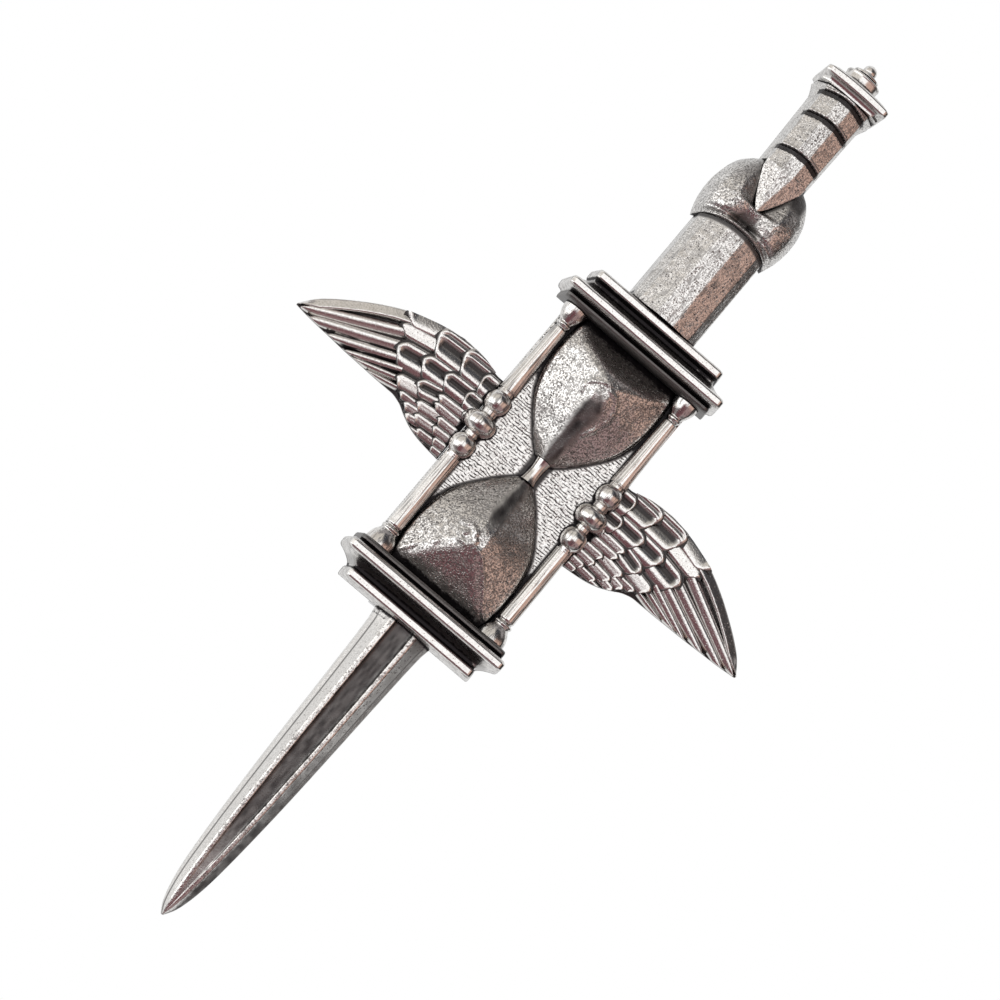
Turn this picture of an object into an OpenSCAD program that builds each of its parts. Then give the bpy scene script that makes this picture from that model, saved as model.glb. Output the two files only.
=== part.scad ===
// Kilt pin: a cast dagger with a winged hourglass, and a plain pin fitting behind it.
// It lies face up on the fitting. The dagger runs along Y with its tip at -Y, and the wings reach out along X

/* [Dagger] */
// Length of the blade, from its tip to the case
blade_len = 33.2; // [28:0.1:40]
// Width of the blade at its root
blade_w = 6.2; // [5:0.1:7]
// Height of the blade's ridge above the back
blade_t = 3.1; // [2.4:0.1:3.6]
// Width of the fuller along the blade
fuller_w = 2.1; // [1.4:0.1:2.8]
// Depth of the fuller
fuller_d = 0.35; // [0.1:0.05:0.6]
// Length of the grip, from the case to the foot of the collar
grip_len = 9.1; // [7:0.1:12]
// Width of the grip
grip_w = 7.6; // [6:0.1:8]
// Height of the grip above the back
grip_t = 4.7; // [4:0.1:5]
// Length of the collar
collar_len = 8.4; // [7:0.1:10]
// Width of the collar at its widest
collar_w = 9.6; // [8.4:0.1:11]
// Height of the collar's ridge above the back
collar_t = 5.5; // [5.2:0.1:6]
// Rise of the arch at the foot of the collar
arch_rise = 1.2; // [0.6:0.1:1.8]
// Length of the handle, from the collar to the pommel
handle_len = 8.9; // [7.6:0.1:12]
// Width of the handle
handle_w = 5.6; // [4.8:0.1:6.2]
// Height of the handle above the back
handle_t = 5; // [4.9:0.1:5.4]
// Length of the handle's pointed front that lies over the collar
point_len = 4.5; // [3.4:0.1:4.6]
// Width of each groove round the handle
groove_w = 0.65; // [0.4:0.05:0.8]
// Depth of each groove round the handle
groove_d = 0.4; // [0.2:0.05:0.6]
// How far each side of the handle spreads at its end, behind the pommel's front
spread = 0.5; // [0.1:0.1:0.7]

/* [Pommel] */
// Width of the pommel cap
pommel_w = 7; // [6.4:0.1:8]
// Depth of the pommel cap, front to back
pommel_t = 7.2; // [6.4:0.1:7.6]
// Length of the pommel cap along the dagger
pommel_len = 1.9; // [1.4:0.1:2.6]
// How far the pommel cap stands proud of the handle's front
pommel_proud = 0.8; // [0.4:0.1:1]
// Length of the finial
finial_len = 2.5; // [1:0.1:3]
// Width of the finial's lowest tier
finial_w = 3.6; // [2.8:0.1:4]

/* [Hourglass] */
// Length of the case between its two caps
case_len = 28; // [24:0.5:34]
// Thickness of the panel
panel_t = 1.9; // [1.6:0.1:2.2]
// Length of each cap along the dagger
cap_len = 4; // [3:0.1:5]
// Width of each cap at its widest slab
cap_w = 17.6; // [17:0.1:20]
// Height of each cap's widest slab above the back
cap_t = 5.6; // [5:0.1:6]
// How far the ends of a cap lean out from its front to its back
cap_lean = 0.4; // [0:0.1:0.8]
// Length of the neck of the glass
neck_len = 2.4; // [1.8:0.1:3.2]
// Width of the neck at its ends
neck_w = 1.44; // [1:0.05:1.8]
// Clear gap between the glass and the columns beside it
glass_gap = 0.1; // [0.05:0.05:0.6]
// Height of each bulb above the panel
bulb_t = 3.3; // [2.4:0.1:3.6]
// Distance from the lower cap to the middle of the neck
neck_up = 14.25; // [12:0.05:15]

/* [Columns] */
// Distance between the axes of the two columns
column_gap = 13.1; // [11.6:0.1:14]
// Diameter of a column's shaft
shaft_d = 1.55; // [1.1:0.05:1.6]
// Height of a column's axis above the panel
axis_rise = 0.4; // [0.2:0.05:0.6]
// Diameter of a column's base and capital
flare_d = 2.9; // [2.2:0.1:3]
// Length of a column's base and capital
flare_len = 1.7; // [1.2:0.1:2.2]
// Diameter of the large bead
bead_d = 3.1; // [2.4:0.1:3.2]
// Length of the large bead along the column
bead_len = 2.2; // [1.6:0.1:2.4]
// Diameter of the two small beads
small_bead_d = 2.35; // [1.8:0.05:2.6]
// Distance from the lower cap to the middle of the large bead
bead_up = 14.35; // [12:0.05:15]

/* [Wings] */
// Length of a wing from the panel to its tip
wing_len = 18.6; // [14:0.2:24]
// Height of a wing along the dagger
wing_h = 10.1; // [8:0.1:12]
// Thickness of a wing at its thickest feathers
wing_t = 1.85; // [1.4:0.05:2.1]
// Distance from the lower cap to the foot of a wing
wing_up = 9.4; // [8:0.1:11]

/* [Pin fitting] */
// Diameter of the pin stem
stem_d = 1.2; // [0.9:0.05:1.4]
// Clear gap for cloth between the stem and the bar
cloth_gap = 4.3; // [4.1:0.1:5]
// Height of the stem above the surface that the fitting stands on
stem_rise = 0.6; // [0.4:0.05:0.8]
// Thickness of the bar
bar_t = 0.8; // [0.6:0.1:1.2]
// Width of the bar
bar_w = 5; // [4:0.1:6]
// Width of the hinge knuckle and of the catch plate
foot_w = 7; // [6:0.1:9]
// Thickness of the hinge cheeks and of the catch plate
cheek_t = 1; // [0.8:0.1:1.4]
// Length of the catch's sleeve along the stem
catch_len = 3; // [2.4:0.1:4]
// Clear gap at the seams between pieces
seam = 0.05; // [0.03:0.01:0.08]

/* [Hidden] */
$fn = 32;

// height of the back plane of the casting
back_z = stem_rise + stem_d + cloth_gap + bar_t;
panel_z = back_z + panel_t;
axis_z = panel_z + axis_rise;

// the panel reaches to the outer sides of the columns, and the glass fills the space between them
panel_w = column_gap + shaft_d;
bulb_w = column_gap - shaft_d - 2 * glass_gap;

// places along the dagger, with the whole length centred on the origin
total_len = blade_len + 2 * cap_len + case_len + grip_len + collar_len + handle_len + pommel_len + finial_len;
tip_y = -total_len / 2;
low_cap_y = tip_y + blade_len;
case_y = low_cap_y + cap_len;
top_cap_y = case_y + case_len;
grip_y = top_cap_y + cap_len;
collar_y = grip_y + grip_len;
handle_y = collar_y + collar_len;
pommel_y = handle_y + handle_len;
finial_y = pommel_y + pommel_len;
neck_y = case_y + neck_up;
bead_y = case_y + bead_up;
wing_y = case_y + wing_up;

// the handle's point lies on this height, clear above the collar
point_z = back_z + handle_t * 0.86;

// blade sections from tip to root: along, half width, height, fuller, all as shares
BLADE = [
    [0, 0.035, 0.24, 0.01],
    [0.012, 0.12, 0.3, 0.02],
    [0.03, 0.22, 0.38, 0.04],
    [0.06, 0.325, 0.47, 0.1],
    [0.1, 0.42, 0.55, 0.2],
    [0.147, 0.495, 0.62, 0.32],
    [0.21, 0.56, 0.69, 0.46],
    [0.3, 0.63, 0.77, 0.6],
    [0.44, 0.715, 0.85, 0.76],
    [0.6, 0.785, 0.91, 0.88],
    [0.8, 0.86, 0.96, 0.97],
    [0.965, 0.94, 1, 1],
    [1, 1, 1, 1]];

// cap sections from its outer to its inner face: along, half width, height, as shares
CAP = [
    [0, 0.8, 0.72],
    [0.04, 0.815, 0.77],
    [0.14, 0.818, 0.79],
    [0.23, 0.812, 0.76],
    [0.27, 0.8, 0.68],
    [0.4, 0.85, 0.71],
    [0.5, 0.93, 0.82],
    [0.54, 0.975, 0.94],
    [0.6, 1, 1],
    [0.74, 1, 1],
    [0.8, 0.98, 0.95],
    [0.83, 0.935, 0.82],
    [1, 0.93, 0.84]];

// bulb sections from the neck to the cap: along, half width, height, as shares
BULB = [
    [0, 0.17, 0.34],
    [0.04, 0.28, 0.38],
    [0.1, 0.41, 0.46],
    [0.18, 0.56, 0.57],
    [0.26, 0.69, 0.68],
    [0.34, 0.81, 0.78],
    [0.43, 0.9, 0.88],
    [0.52, 0.955, 0.96],
    [0.6, 0.985, 1],
    [0.67, 1, 0.96],
    [0.76, 1, 0.86],
    [0.86, 0.985, 0.73],
    [0.94, 0.92, 0.63],
    [1, 0.86, 0.57]];

// collar rows from its arched foot to its top: along, half width, height at middle, height at sides, as shares
COLLAR = [
    [0, 0.87, 0.85, 0.84],
    [0.08, 0.915, 0.8, 1],
    [0.18, 0.95, 0.86, 0.97],
    [0.26, 0.975, 0.97, 0.91],
    [0.31, 0.985, 1, 0.88],
    [0.345, 0.99, 0.88, 0.86],
    [0.38, 0.995, 0.755, 0.84],
    [0.5, 1, 0.75, 0.79],
    [0.66, 0.96, 0.75, 0.72],
    [0.8, 0.88, 0.74, 0.68],
    [0.92, 0.74, 0.72, 0.62],
    [1, 0.56, 0.7, 0.56]];

// edges of a wing: out from the panel, up to the lower edge, up to the upper edge, as shares
WING = [
    [0, 0, 0.93],
    [0.06, 0.01, 0.95],
    [0.14, 0.03, 0.985],
    [0.2, 0.06, 0.995],
    [0.26, 0.11, 1],
    [0.32, 0.17, 0.985],
    [0.38, 0.195, 0.97],
    [0.46, 0.195, 0.93],
    [0.57, 0.2, 0.86],
    [0.68, 0.205, 0.755],
    [0.78, 0.215, 0.637],
    [0.89, 0.225, 0.487],
    [0.95, 0.235, 0.385],
    [1, 0.245, 0.26]];

// long feathers: root out, root up, tip out, tip up, width at the root, as shares
QUILLS = [
    [0.5, 0.86, 0.97, 0.32, 0.15],
    [0.48, 0.71, 0.965, 0.255, 0.12],
    [0.45, 0.58, 0.875, 0.25, 0.115],
    [0.43, 0.48, 0.745, 0.24, 0.1],
    [0.4, 0.32, 0.605, 0.225, 0.07],
    [0.38, 0.255, 0.55, 0.215, 0.05]];

// short feathers: root out, root up, centre of the round end out and up, width, as shares, and layer from below
SCALES = [
    [0.383, 0.894, 0.526, 0.824, 0.168, 0],
    [0.369, 0.775, 0.517, 0.702, 0.109, 0],
    [0.331, 0.573, 0.447, 0.532, 0.198, 0],
    [0.269, 0.369, 0.374, 0.328, 0.119, 0],
    [0.212, 0.85, 0.322, 0.836, 0.267, 1],
    [0.196, 0.615, 0.313, 0.593, 0.198, 1],
    [0.167, 0.45, 0.273, 0.397, 0.149, 1],
    [0.119, 0.286, 0.228, 0.251, 0.109, 1],
    [0.1, 0.171, 0.203, 0.147, 0.094, 1],
    [0.082, 0.849, 0.168, 0.844, 0.238, 2],
    [0.094, 0.61, 0.185, 0.598, 0.178, 2],
    [0.064, 0.439, 0.168, 0.426, 0.094, 2],
    [0.054, 0.346, 0.159, 0.346, 0.089, 2],
    [0.045, 0.27, 0.105, 0.264, 0.094, 2],
    [0.042, 0.186, 0.094, 0.181, 0.084, 2],
    [0.039, 0.113, 0.055, 0.11, 0.079, 2],
    [0.07, 0.802, 0.054, 0.802, 0.178, 3],
    [0.07, 0.592, 0.059, 0.592, 0.158, 3]];

// tiers of the finial: along, radius, as shares
FINIAL = [
    [0, 1], [0.36, 1], [0.41, 0.9], [0.44, 0.72], [0.56, 0.7], [0.61, 0.58],
    [0.64, 0.36], [0.86, 0.33], [0.95, 0.22], [1, 0.08]];

// Faces of a tube of quads through rings of n points each, closed at both ends
function tube_faces(rings, n) = concat(
    [[for (i = [0:n - 1]) i]],
    [for (k = [0:rings - 2], i = [0:n - 1]) [k * n + i, (k + 1) * n + (i + 1) % n, k * n + (i + 1) % n]],
    [for (k = [0:rings - 2], i = [0:n - 1]) [k * n + i, (k + 1) * n + i, (k + 1) * n + (i + 1) % n]],
    [[for (i = [n - 1:-1:0]) (rings - 1) * n + i]]);

// Solid through sections along Y. Each section is [y, outline], and an outline is a list of [x, z]
module along_y(sections) {
    n = len(sections[0][1]);
    polyhedron(
        points = [for (s = sections, p = s[1]) [p.x, s[0], p.y]],
        faces = tube_faces(len(sections), n));
}

// Outline of a slab: half width at the front, its two heights, bevel of the front corners, lean of the sides
function slab(half, z0, z1, bevel, lean) = [
    [-half - lean, z0], [-half, z1 - bevel], [-half + bevel, z1],
    [half - bevel, z1], [half, z1 - bevel], [half + lean, z0]];

// Outline of a facetted bar with a flat back: its front in three flats between two sloping sides.
// The sides break at the height brow, with the half width outer there, as shares
function facetted(half, z0, z1, shoulder, outer = 0.97, brow = 0.5) = let(t = z1 - z0) [
    [-half, z0], [-half * outer, z0 + t * brow], [-half * shoulder, z0 + t * 0.86],
    [-half * 0.24, z1], [half * 0.24, z1],
    [half * shoulder, z0 + t * 0.86], [half * outer, z0 + t * brow], [half, z0]];

// Outline of the blade: edge wall, bevel, side face up to the ridge, and the fuller between the ridges
function blade_outline(half, top, fuller) =
    let(edge = top * 0.42, rim = half * 0.14, dip = fuller_d * fuller / fuller_w * 2)
    [for (p = [
        [-half, 0], [-half, edge], [-half + rim, edge * 1.4], [-fuller, top], [-fuller * 0.8, top - dip],
        [fuller * 0.8, top - dip], [fuller, top], [half - rim, edge * 1.4], [half, edge], [half, 0]])
        [p.x, back_z + p.y]];

// Outline of a bulb: a rounded gable on a flat back
function bulb_outline(half, top) = concat(
    [for (u = [-1, -0.96, -0.86, -0.7, -0.5, -0.28, -0.1, 0.1, 0.28, 0.5, 0.7, 0.86, 0.96, 1])
        [half * u, panel_z + seam + top * pow(1 - pow(abs(u), 2.1), 0.6)]]);

module blade() {
    color("silver")
        along_y([for (r = BLADE)
            [tip_y + r[0] * (blade_len - seam),
                blade_outline(r[1] * blade_w / 2, r[2] * blade_t, r[3] * fuller_w / 2)]]);
}

// A cap with its outer face at y = 0 and its inner face at y = cap_len
module cap() {
    along_y([for (r = CAP)
        [r[0] * cap_len, slab(r[1] * cap_w / 2, back_z, back_z + r[2] * cap_t, cap_t * 0.08, cap_lean)]]);
}

module lower_cap() {
    color("gainsboro")
        translate([0, low_cap_y, 0])
            cap();
}

module upper_cap() {
    color("gainsboro")
        translate([0, grip_y, 0])
            mirror([0, 1, 0])
                cap();
}

module back_panel() {
    color("dimgray")
        translate([-panel_w / 2, case_y + seam, back_z])
            cube([panel_w, case_len - 2 * seam, panel_t]);
}

// Half the glass, from the neck at y = 0 to the cap at y = reach
module bulb(reach) {
    along_y([for (r = BULB)
        [r[0] * reach, bulb_outline(r[1] * bulb_w / 2, r[2] * bulb_t)]]);
}

module lower_bulb() {
    color("lightgray")
        translate([0, neck_y - neck_len / 2 - seam, 0])
            mirror([0, 1, 0])
                bulb(neck_y - neck_len / 2 - case_y - 2 * seam);
}

module upper_bulb() {
    color("lightgray")
        translate([0, neck_y + neck_len / 2 + seam, 0])
            bulb(top_cap_y - neck_y - neck_len / 2 - 2 * seam);
}

module neck() {
    color("silver")
        translate([0, neck_y, panel_z + seam + neck_w / 2])
            rotate([90, 0, 0])
                rotate_extrude()
                    polygon([[0, -neck_len / 2], [neck_w * 0.5, -neck_len / 2], [neck_w * 0.44, -neck_len * 0.22],
                        [neck_w * 0.42, 0], [neck_w * 0.44, neck_len * 0.22], [neck_w * 0.5, neck_len / 2],
                        [0, neck_len / 2]]);
}

// Half outline of a bead on a shaft, as [radius, along], from one side of it to the other
function bead(at, d, length) = [for (a = [-75:25:75])
    [max(shaft_d * 0.52, d / 2 * cos(a)), at + length / 2 * sin(a)]];

module column() {
    reach = case_len - 2 * seam;
    mid = bead_y - case_y - seam;
    step = (bead_len + small_bead_d) / 2 + 0.16 * shaft_d;
    difference() {
        translate([0, case_y + seam, axis_z])
            rotate([-90, 0, 0])
                rotate_extrude()
                    polygon(concat(
                        [[0, 0], [flare_d / 2, 0], [flare_d * 0.46, flare_len * 0.35], [flare_d * 0.33, flare_len * 0.75],
                            [shaft_d * 0.6, flare_len], [shaft_d * 0.6, flare_len * 1.2],
                            [shaft_d / 2, flare_len * 1.25], [shaft_d * 0.52, mid - step - small_bead_d * 0.55]],
                        bead(mid - step, small_bead_d, small_bead_d),
                        bead(mid, bead_d, bead_len),
                        bead(mid + step, small_bead_d, small_bead_d),
                        [[shaft_d * 0.52, mid + step + small_bead_d * 0.55], [shaft_d * 0.45, reach - flare_len * 1.25],
                            [shaft_d * 0.6, reach - flare_len * 1.2], [shaft_d * 0.6, reach - flare_len],
                            [flare_d * 0.33, reach - flare_len * 0.75], [flare_d * 0.46, reach - flare_len * 0.35],
                            [flare_d / 2, reach], [0, reach]]));
        translate([-bead_d, case_y - bead_d, panel_z + seam - 2 * bead_d])
            cube([2 * bead_d, case_len + 2 * bead_d, 2 * bead_d]);
    }
}

module column_left() {
    color("lightsteelblue")
        translate([-column_gap / 2, 0, 0])
            column();
}

module column_right() {
    color("lightsteelblue")
        translate([column_gap / 2, 0, 0])
            column();
}

// A feather from root a to tip b, lying at height z with its edges bevelled
module feather(a, b, wide, narrow, z, t) {
    hull() {
        translate([a.x, a.y, z])
            cylinder(d1 = wide, d2 = wide * 0.5, h = t, $fn = 9);
        translate([b.x, b.y, z])
            cylinder(d1 = narrow, d2 = narrow * 0.5, h = t, $fn = 9);
    }
}

// A wing with its root at x = 0 and its foot at y = 0
module wing() {
    bed = wing_t * 0.45;
    rows = len(WING);
    linear_extrude(bed)
        polygon(concat(
            [for (r = WING) [r[0] * wing_len, r[1] * wing_h]],
            [for (i = [rows - 1:-1:0]) [WING[i][0] * wing_len, WING[i][2] * wing_h]]));
    for (q = QUILLS)
        feather([q[0] * wing_len, q[1] * wing_h], [q[2] * wing_len, q[3] * wing_h],
            q[4] * wing_h, wing_h * 0.035, bed * 0.6, wing_t * 0.35);
    for (q = SCALES) {
        wide = q[4] * wing_h;
        feather([max(wide / 2, q[0] * wing_len), q[1] * wing_h], [max(wide / 2, q[2] * wing_len), q[3] * wing_h],
            wide, wide, bed * (0.7 + 0.1 * q[5]), wing_t * (0.28 + 0.06 * q[5]));
    }
}

module wing_right() {
    color("darkgray")
        translate([panel_w / 2 + seam, wing_y, back_z])
            wing();
}

module wing_left() {
    color("darkgray")
        mirror([1, 0, 0])
            translate([panel_w / 2 + seam, wing_y, back_z])
                wing();
}

// The curve of the collar's foot: how far it rises at a place across, from -1 to 1
function arch(u) = arch_rise * (1 - u * u);

module grip() {
    color("silver")
        intersection() {
            translate([0, handle_y, 0])
                rotate([90, 0, 0])
                    linear_extrude(handle_y - grip_y - seam)
                        polygon(facetted(grip_w / 2, back_z, back_z + grip_t, 0.74, 0.96, 0.66));
            linear_extrude(2 * grip_t + back_z)
                polygon(concat([[-grip_w, grip_y], [grip_w, grip_y]],
                    [for (u = [0.9:-0.15:-0.9]) [u * collar_w / 2, collar_y + arch(u) - seam]]));
        }
}

module collar() {
    across = [-1, -0.94, -0.82, -0.65, -0.45, -0.22, 0, 0.22, 0.45, 0.65, 0.82, 0.94, 1];
    n = len(across);
    function top(r, u) = (r[2] + (r[3] - r[2]) * abs(u)) * sqrt(1 - 0.72 * u * u);
    color("gainsboro")
        along_rows([for (r = COLLAR) [for (u = across)
            [u * r[1] * collar_w / 2,
                collar_y + seam + r[0] * (collar_len - 2 * seam) + arch(u * r[1]) * (1 - r[0]),
                back_z + collar_t * top(r, u)]]], back_z);
}

// Solid under rows of surface points, closed by a flat back at height z0
module along_rows(rows, z0) {
    n = len(rows[0]);
    m = len(rows);
    flat = m * n;
    rim = concat(
        [for (i = [0:n - 1]) i],
        [for (k = [1:m - 1]) k * n + n - 1],
        [for (i = [n - 2:-1:0]) (m - 1) * n + i],
        [for (k = [m - 2:-1:1]) k * n]);
    r = len(rim);
    upper = [for (row = rows, p = row) p];
    lower = [for (i = rim) [upper[i].x, upper[i].y, z0]];
    polyhedron(
        points = concat(upper, lower),
        faces = concat(
            [for (k = [0:m - 2], i = [0:n - 2]) [k * n + i, (k + 1) * n + i, (k + 1) * n + i + 1]],
            [for (k = [0:m - 2], i = [0:n - 2]) [k * n + i, (k + 1) * n + i + 1, k * n + i + 1]],
            [for (j = [0:r - 1]) [rim[j], rim[(j + 1) % r], flat + (j + 1) % r]],
            [for (j = [0:r - 1]) [rim[j], flat + (j + 1) % r, flat + j]],
            [[for (j = [0:r - 1]) flat + j]]));
}

// The point of the handle narrows to its tip in this share of its half width, with u = 0 at the tip
function lancet(u) = 0.03 + 0.77 * pow(u, 0.87);

module handle() {
    start = handle_y - point_len;
    full = handle_y + seam;
    stop = pommel_y - seam;
    // each groove: where its middle lies, as a share of the handle's length
    grooves = [0.18, 0.62, 0.88];
    // the sides start to spread at this share
    bend = 0.86;
    // a section of the point, from its tip at u = 0
    function point(u) = [start + u * point_len,
        facetted(lancet(u) * handle_w / 2, point_z, back_z + handle_t * (0.95 + 0.05 * u), 0.5, 0.97, 0.3)];
    // a section past the collar, at the share g, sunk by dip
    function section(g, dip) =
        let(half = handle_w * (0.46 + 0.04 * g), side = spread * max(0, (g - bend) / (1 - bend)))
        [full + g * (stop - full),
            facetted(half + side, back_z, back_z + handle_t - dip, 0.84 * half / (half + side), 0.97, 0.5)];
    color("silver")
        along_y(concat(
            [for (u = [0, 0.08, 0.2, 0.35, 0.5, 0.65, 0.8, 0.92, 1]) point(u)],
            [section(0, 0)],
            [for (g = grooves, k = [0:3])
                section(g + [-0.5, -0.3, 0.3, 0.5][k] * groove_w / (stop - full), [0, groove_d, groove_d, 0][k])],
            [section(1, 0)]));
}

module pommel_cap() {
    front = back_z + handle_t + pommel_proud;
    rear = front - pommel_t;
    color("gainsboro")
        along_y([for (r = [
            // along, half width, inset of the front and rear
            [0, 0.93, 0.09], [0.12, 0.935, 0.085], [0.28, 0.95, 0.06], [0.38, 0.975, 0.02], [0.46, 1, 0], [0.74, 1, 0],
            [0.82, 0.96, 0.02], [1, 0.6, 0.2]])
            [pommel_y + r[0] * (pommel_len - seam),
                slab(r[1] * pommel_w / 2, rear + r[2] * pommel_t, front - r[2] * pommel_t, pommel_t * 0.04, 0)]]);
}

module finial() {
    middle = back_z + handle_t + pommel_proud - pommel_t / 2;
    color("silver")
        translate([0, finial_y, middle])
            rotate([-90, 0, 0])
                rotate_extrude()
                    polygon(concat([[0, 0]],
                        [for (r = FINIAL) [r[1] * finial_w / 2, r[0] * finial_len]],
                        [[0, finial_len]]));
}

// One plain piece: bar, hinge with its knuckle, catch with its sleeve, and the stem between them
module back_pin() {
    low_y = low_cap_y + 0.1 * cap_len;
    high_y = grip_y + 0.3 * cap_len;
    stem_z = stem_rise + stem_d / 2;
    knuckle_y = high_y - stem_z;
    top = back_z - seam;
    color("slategray")
        union() {
            translate([-bar_w / 2, low_y, back_z - bar_t])
                cube([bar_w, high_y - low_y, bar_t - seam]);
            // cheeks of the hinge, with the knuckle across them
            for (x = [-foot_w / 2, foot_w / 2 - cheek_t])
                translate([x, knuckle_y - stem_z, 0])
                    cube([cheek_t, 2 * stem_z, top]);
            translate([-foot_w / 2 + cheek_t / 2, knuckle_y, stem_z])
                rotate([0, 90, 0])
                    cylinder(r = stem_z * 0.9, h = foot_w - cheek_t);
            // flanges that carry the cheeks and the catch plate
            for (y = [low_y, high_y - 2 * stem_z])
                translate([-foot_w / 2, y, back_z - bar_t])
                    cube([foot_w, 2 * stem_z, bar_t - seam]);
            // catch plate and sleeve
            translate([-foot_w / 2, low_y, 0])
                cube([foot_w, cheek_t, top]);
            translate([0, low_y, stem_z])
                rotate([-90, 0, 0])
                    cylinder(r = stem_z * 0.9, h = catch_len);
            translate([0, low_y + catch_len / 2, stem_z])
                rotate([-90, 0, 0])
                    cylinder(d = stem_d, h = knuckle_y - low_y - catch_len / 2);
        }
}

blade();
lower_cap();
upper_cap();
back_panel();
lower_bulb();
neck();
upper_bulb();
column_left();
column_right();
wing_left();
wing_right();
grip();
collar();
handle();
pommel_cap();
finial();
back_pin();
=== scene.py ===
import bpy
import bmesh
import math
import numpy as np
from mathutils import Matrix, Vector


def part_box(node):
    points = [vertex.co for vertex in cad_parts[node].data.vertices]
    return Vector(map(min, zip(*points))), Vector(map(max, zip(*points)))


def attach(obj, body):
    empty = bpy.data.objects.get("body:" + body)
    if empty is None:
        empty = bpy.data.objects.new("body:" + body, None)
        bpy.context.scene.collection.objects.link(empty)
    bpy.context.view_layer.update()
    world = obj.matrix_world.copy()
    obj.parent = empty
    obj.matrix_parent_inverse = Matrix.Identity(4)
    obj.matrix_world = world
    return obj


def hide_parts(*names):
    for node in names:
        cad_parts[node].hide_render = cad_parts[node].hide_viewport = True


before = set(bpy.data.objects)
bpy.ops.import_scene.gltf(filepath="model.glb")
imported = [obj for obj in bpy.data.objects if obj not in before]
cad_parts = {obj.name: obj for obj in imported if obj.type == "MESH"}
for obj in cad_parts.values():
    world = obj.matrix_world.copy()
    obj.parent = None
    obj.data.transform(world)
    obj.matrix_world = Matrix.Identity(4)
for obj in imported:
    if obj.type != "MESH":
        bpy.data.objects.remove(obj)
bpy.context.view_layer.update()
scene = bpy.context.scene
mm = 0.001


def nodeBox(name):  # lowest and highest corner in millimetres, the unit of all shapes here
    low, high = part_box(name)
    return np.array(low) / mm, np.array(high) / mm


def step(a, b, x):  # 0 below a, 1 above b, smooth between
    t = np.clip((np.asarray(x, float) - a) / (b - a), 0, 1)
    return t * t * (3 - 2 * t)


def through(table, column, x):  # smooth curve through a table's rows that never overshoots them
    xs = np.array([r[0] for r in table], float)
    ys = np.array([r[column] for r in table], float)
    slope = np.diff(ys) / np.diff(xs)
    side = np.zeros_like(ys)
    same = slope[:-1] * slope[1:] > 0
    side[1:-1][same] = 2 * slope[:-1][same] * slope[1:][same] / (slope[:-1] + slope[1:])[same]
    side[0], side[-1] = slope[0], slope[-1]
    x = np.clip(x, xs[0], xs[-1])
    i = np.clip(np.searchsorted(xs, x) - 1, 0, len(xs) - 2)
    w = xs[i + 1] - xs[i]
    t = (x - xs[i]) / w
    return ((2 * t**3 - 3 * t**2 + 1) * ys[i] + (t**3 - 2 * t**2 + t) * w * side[i]
            + (3 * t**2 - 2 * t**3) * ys[i + 1] + (t**3 - t**2) * w * side[i + 1])


def unevenness(x, y, size, seed):  # soft random field from -1 to 1 with bumps about size apart
    cells = 128
    table = np.random.default_rng(seed).uniform(-1, 1, (cells, cells))
    gx, gy = np.asarray(x) / size + cells / 2, np.asarray(y) / size + cells / 2
    ix, iy = np.floor(gx).astype(int), np.floor(gy).astype(int)
    fx, fy = gx - ix, gy - iy
    fx, fy = fx * fx * (3 - 2 * fx), fy * fy * (3 - 2 * fy)

    def at(i, j):
        return table[i % cells, j % cells]

    return ((at(ix, iy) * (1 - fx) + at(ix + 1, iy) * fx) * (1 - fy)
            + (at(ix, iy + 1) * (1 - fx) + at(ix + 1, iy + 1) * fx) * fy)


def roundedOutlines(keys, radius, pitch=0.12, arc=4):  # (rows, corners, 2) with every inner corner rounded
    rows = []
    last = keys[:, 0]
    for i in range(1, keys.shape[1]):
        corner = keys[:, i]
        if i < keys.shape[1] - 1:
            a, b = keys[:, i - 1] - corner, keys[:, i + 1] - corner
            la = np.maximum(np.linalg.norm(a, axis=1), 1e-6)[:, None]
            lb = np.maximum(np.linalg.norm(b, axis=1), 1e-6)[:, None]
            r = radius[i] if hasattr(radius, "__len__") else radius
            cut = np.minimum(np.minimum(0.45 * la, 0.45 * lb), r)
            start, end = corner + a / la * cut, corner + b / lb * cut
        else:
            start = end = corner
        parts = max(1, int(np.ceil(np.linalg.norm(start - last, axis=1).max() / pitch)))
        rows += [last + (start - last) * k / parts for k in range(parts)]
        if i < keys.shape[1] - 1:
            for k in range(arc):
                t = k / arc
                rows.append((1 - t)**2 * start + 2 * t * (1 - t) * corner + t * t * end)
        last = end
    rows.append(last)
    return np.stack(rows, 1)


def bothSides(side):  # whole outline from its right half, listed from the foot up
    return np.stack([np.stack([-x, z], 1) for x, z in side] + [np.stack([x, z], 1) for x, z in side[::-1]], 1)


def loftFaces(m, n):  # closed tube of quads through m rings of n points, with a flat face at each end
    i, j = np.arange(m - 1)[:, None] * n, np.arange(n)[None, :]
    k = (j + 1) % n
    quads = np.stack([i + j, i + k, i + n + k, i + n + j], -1).reshape(-1, 4).tolist()
    return quads + [list(range(n)), list(range((m - 1) * n, m * n))]


def makePiece(name, points, faces, sharp=55):  # points in millimetres
    mesh = bpy.data.meshes.new(name)
    mesh.from_pydata((np.asarray(points) * mm).tolist(), [], faces)
    return finishMesh(name, mesh, sharp)


def finishMesh(name, mesh, sharp):
    work = bmesh.new()
    work.from_mesh(mesh)
    bmesh.ops.remove_doubles(work, verts=work.verts, dist=0.000002)
    bmesh.ops.dissolve_degenerate(work, edges=work.edges, dist=0.000001)
    bmesh.ops.recalc_face_normals(work, faces=work.faces)
    work.to_mesh(mesh)
    work.free()
    mesh.shade_smooth()
    mesh.set_sharp_from_angle(angle=math.radians(sharp))
    piece = bpy.data.objects.new(name, mesh)
    scene.collection.objects.link(piece)
    return piece


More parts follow.
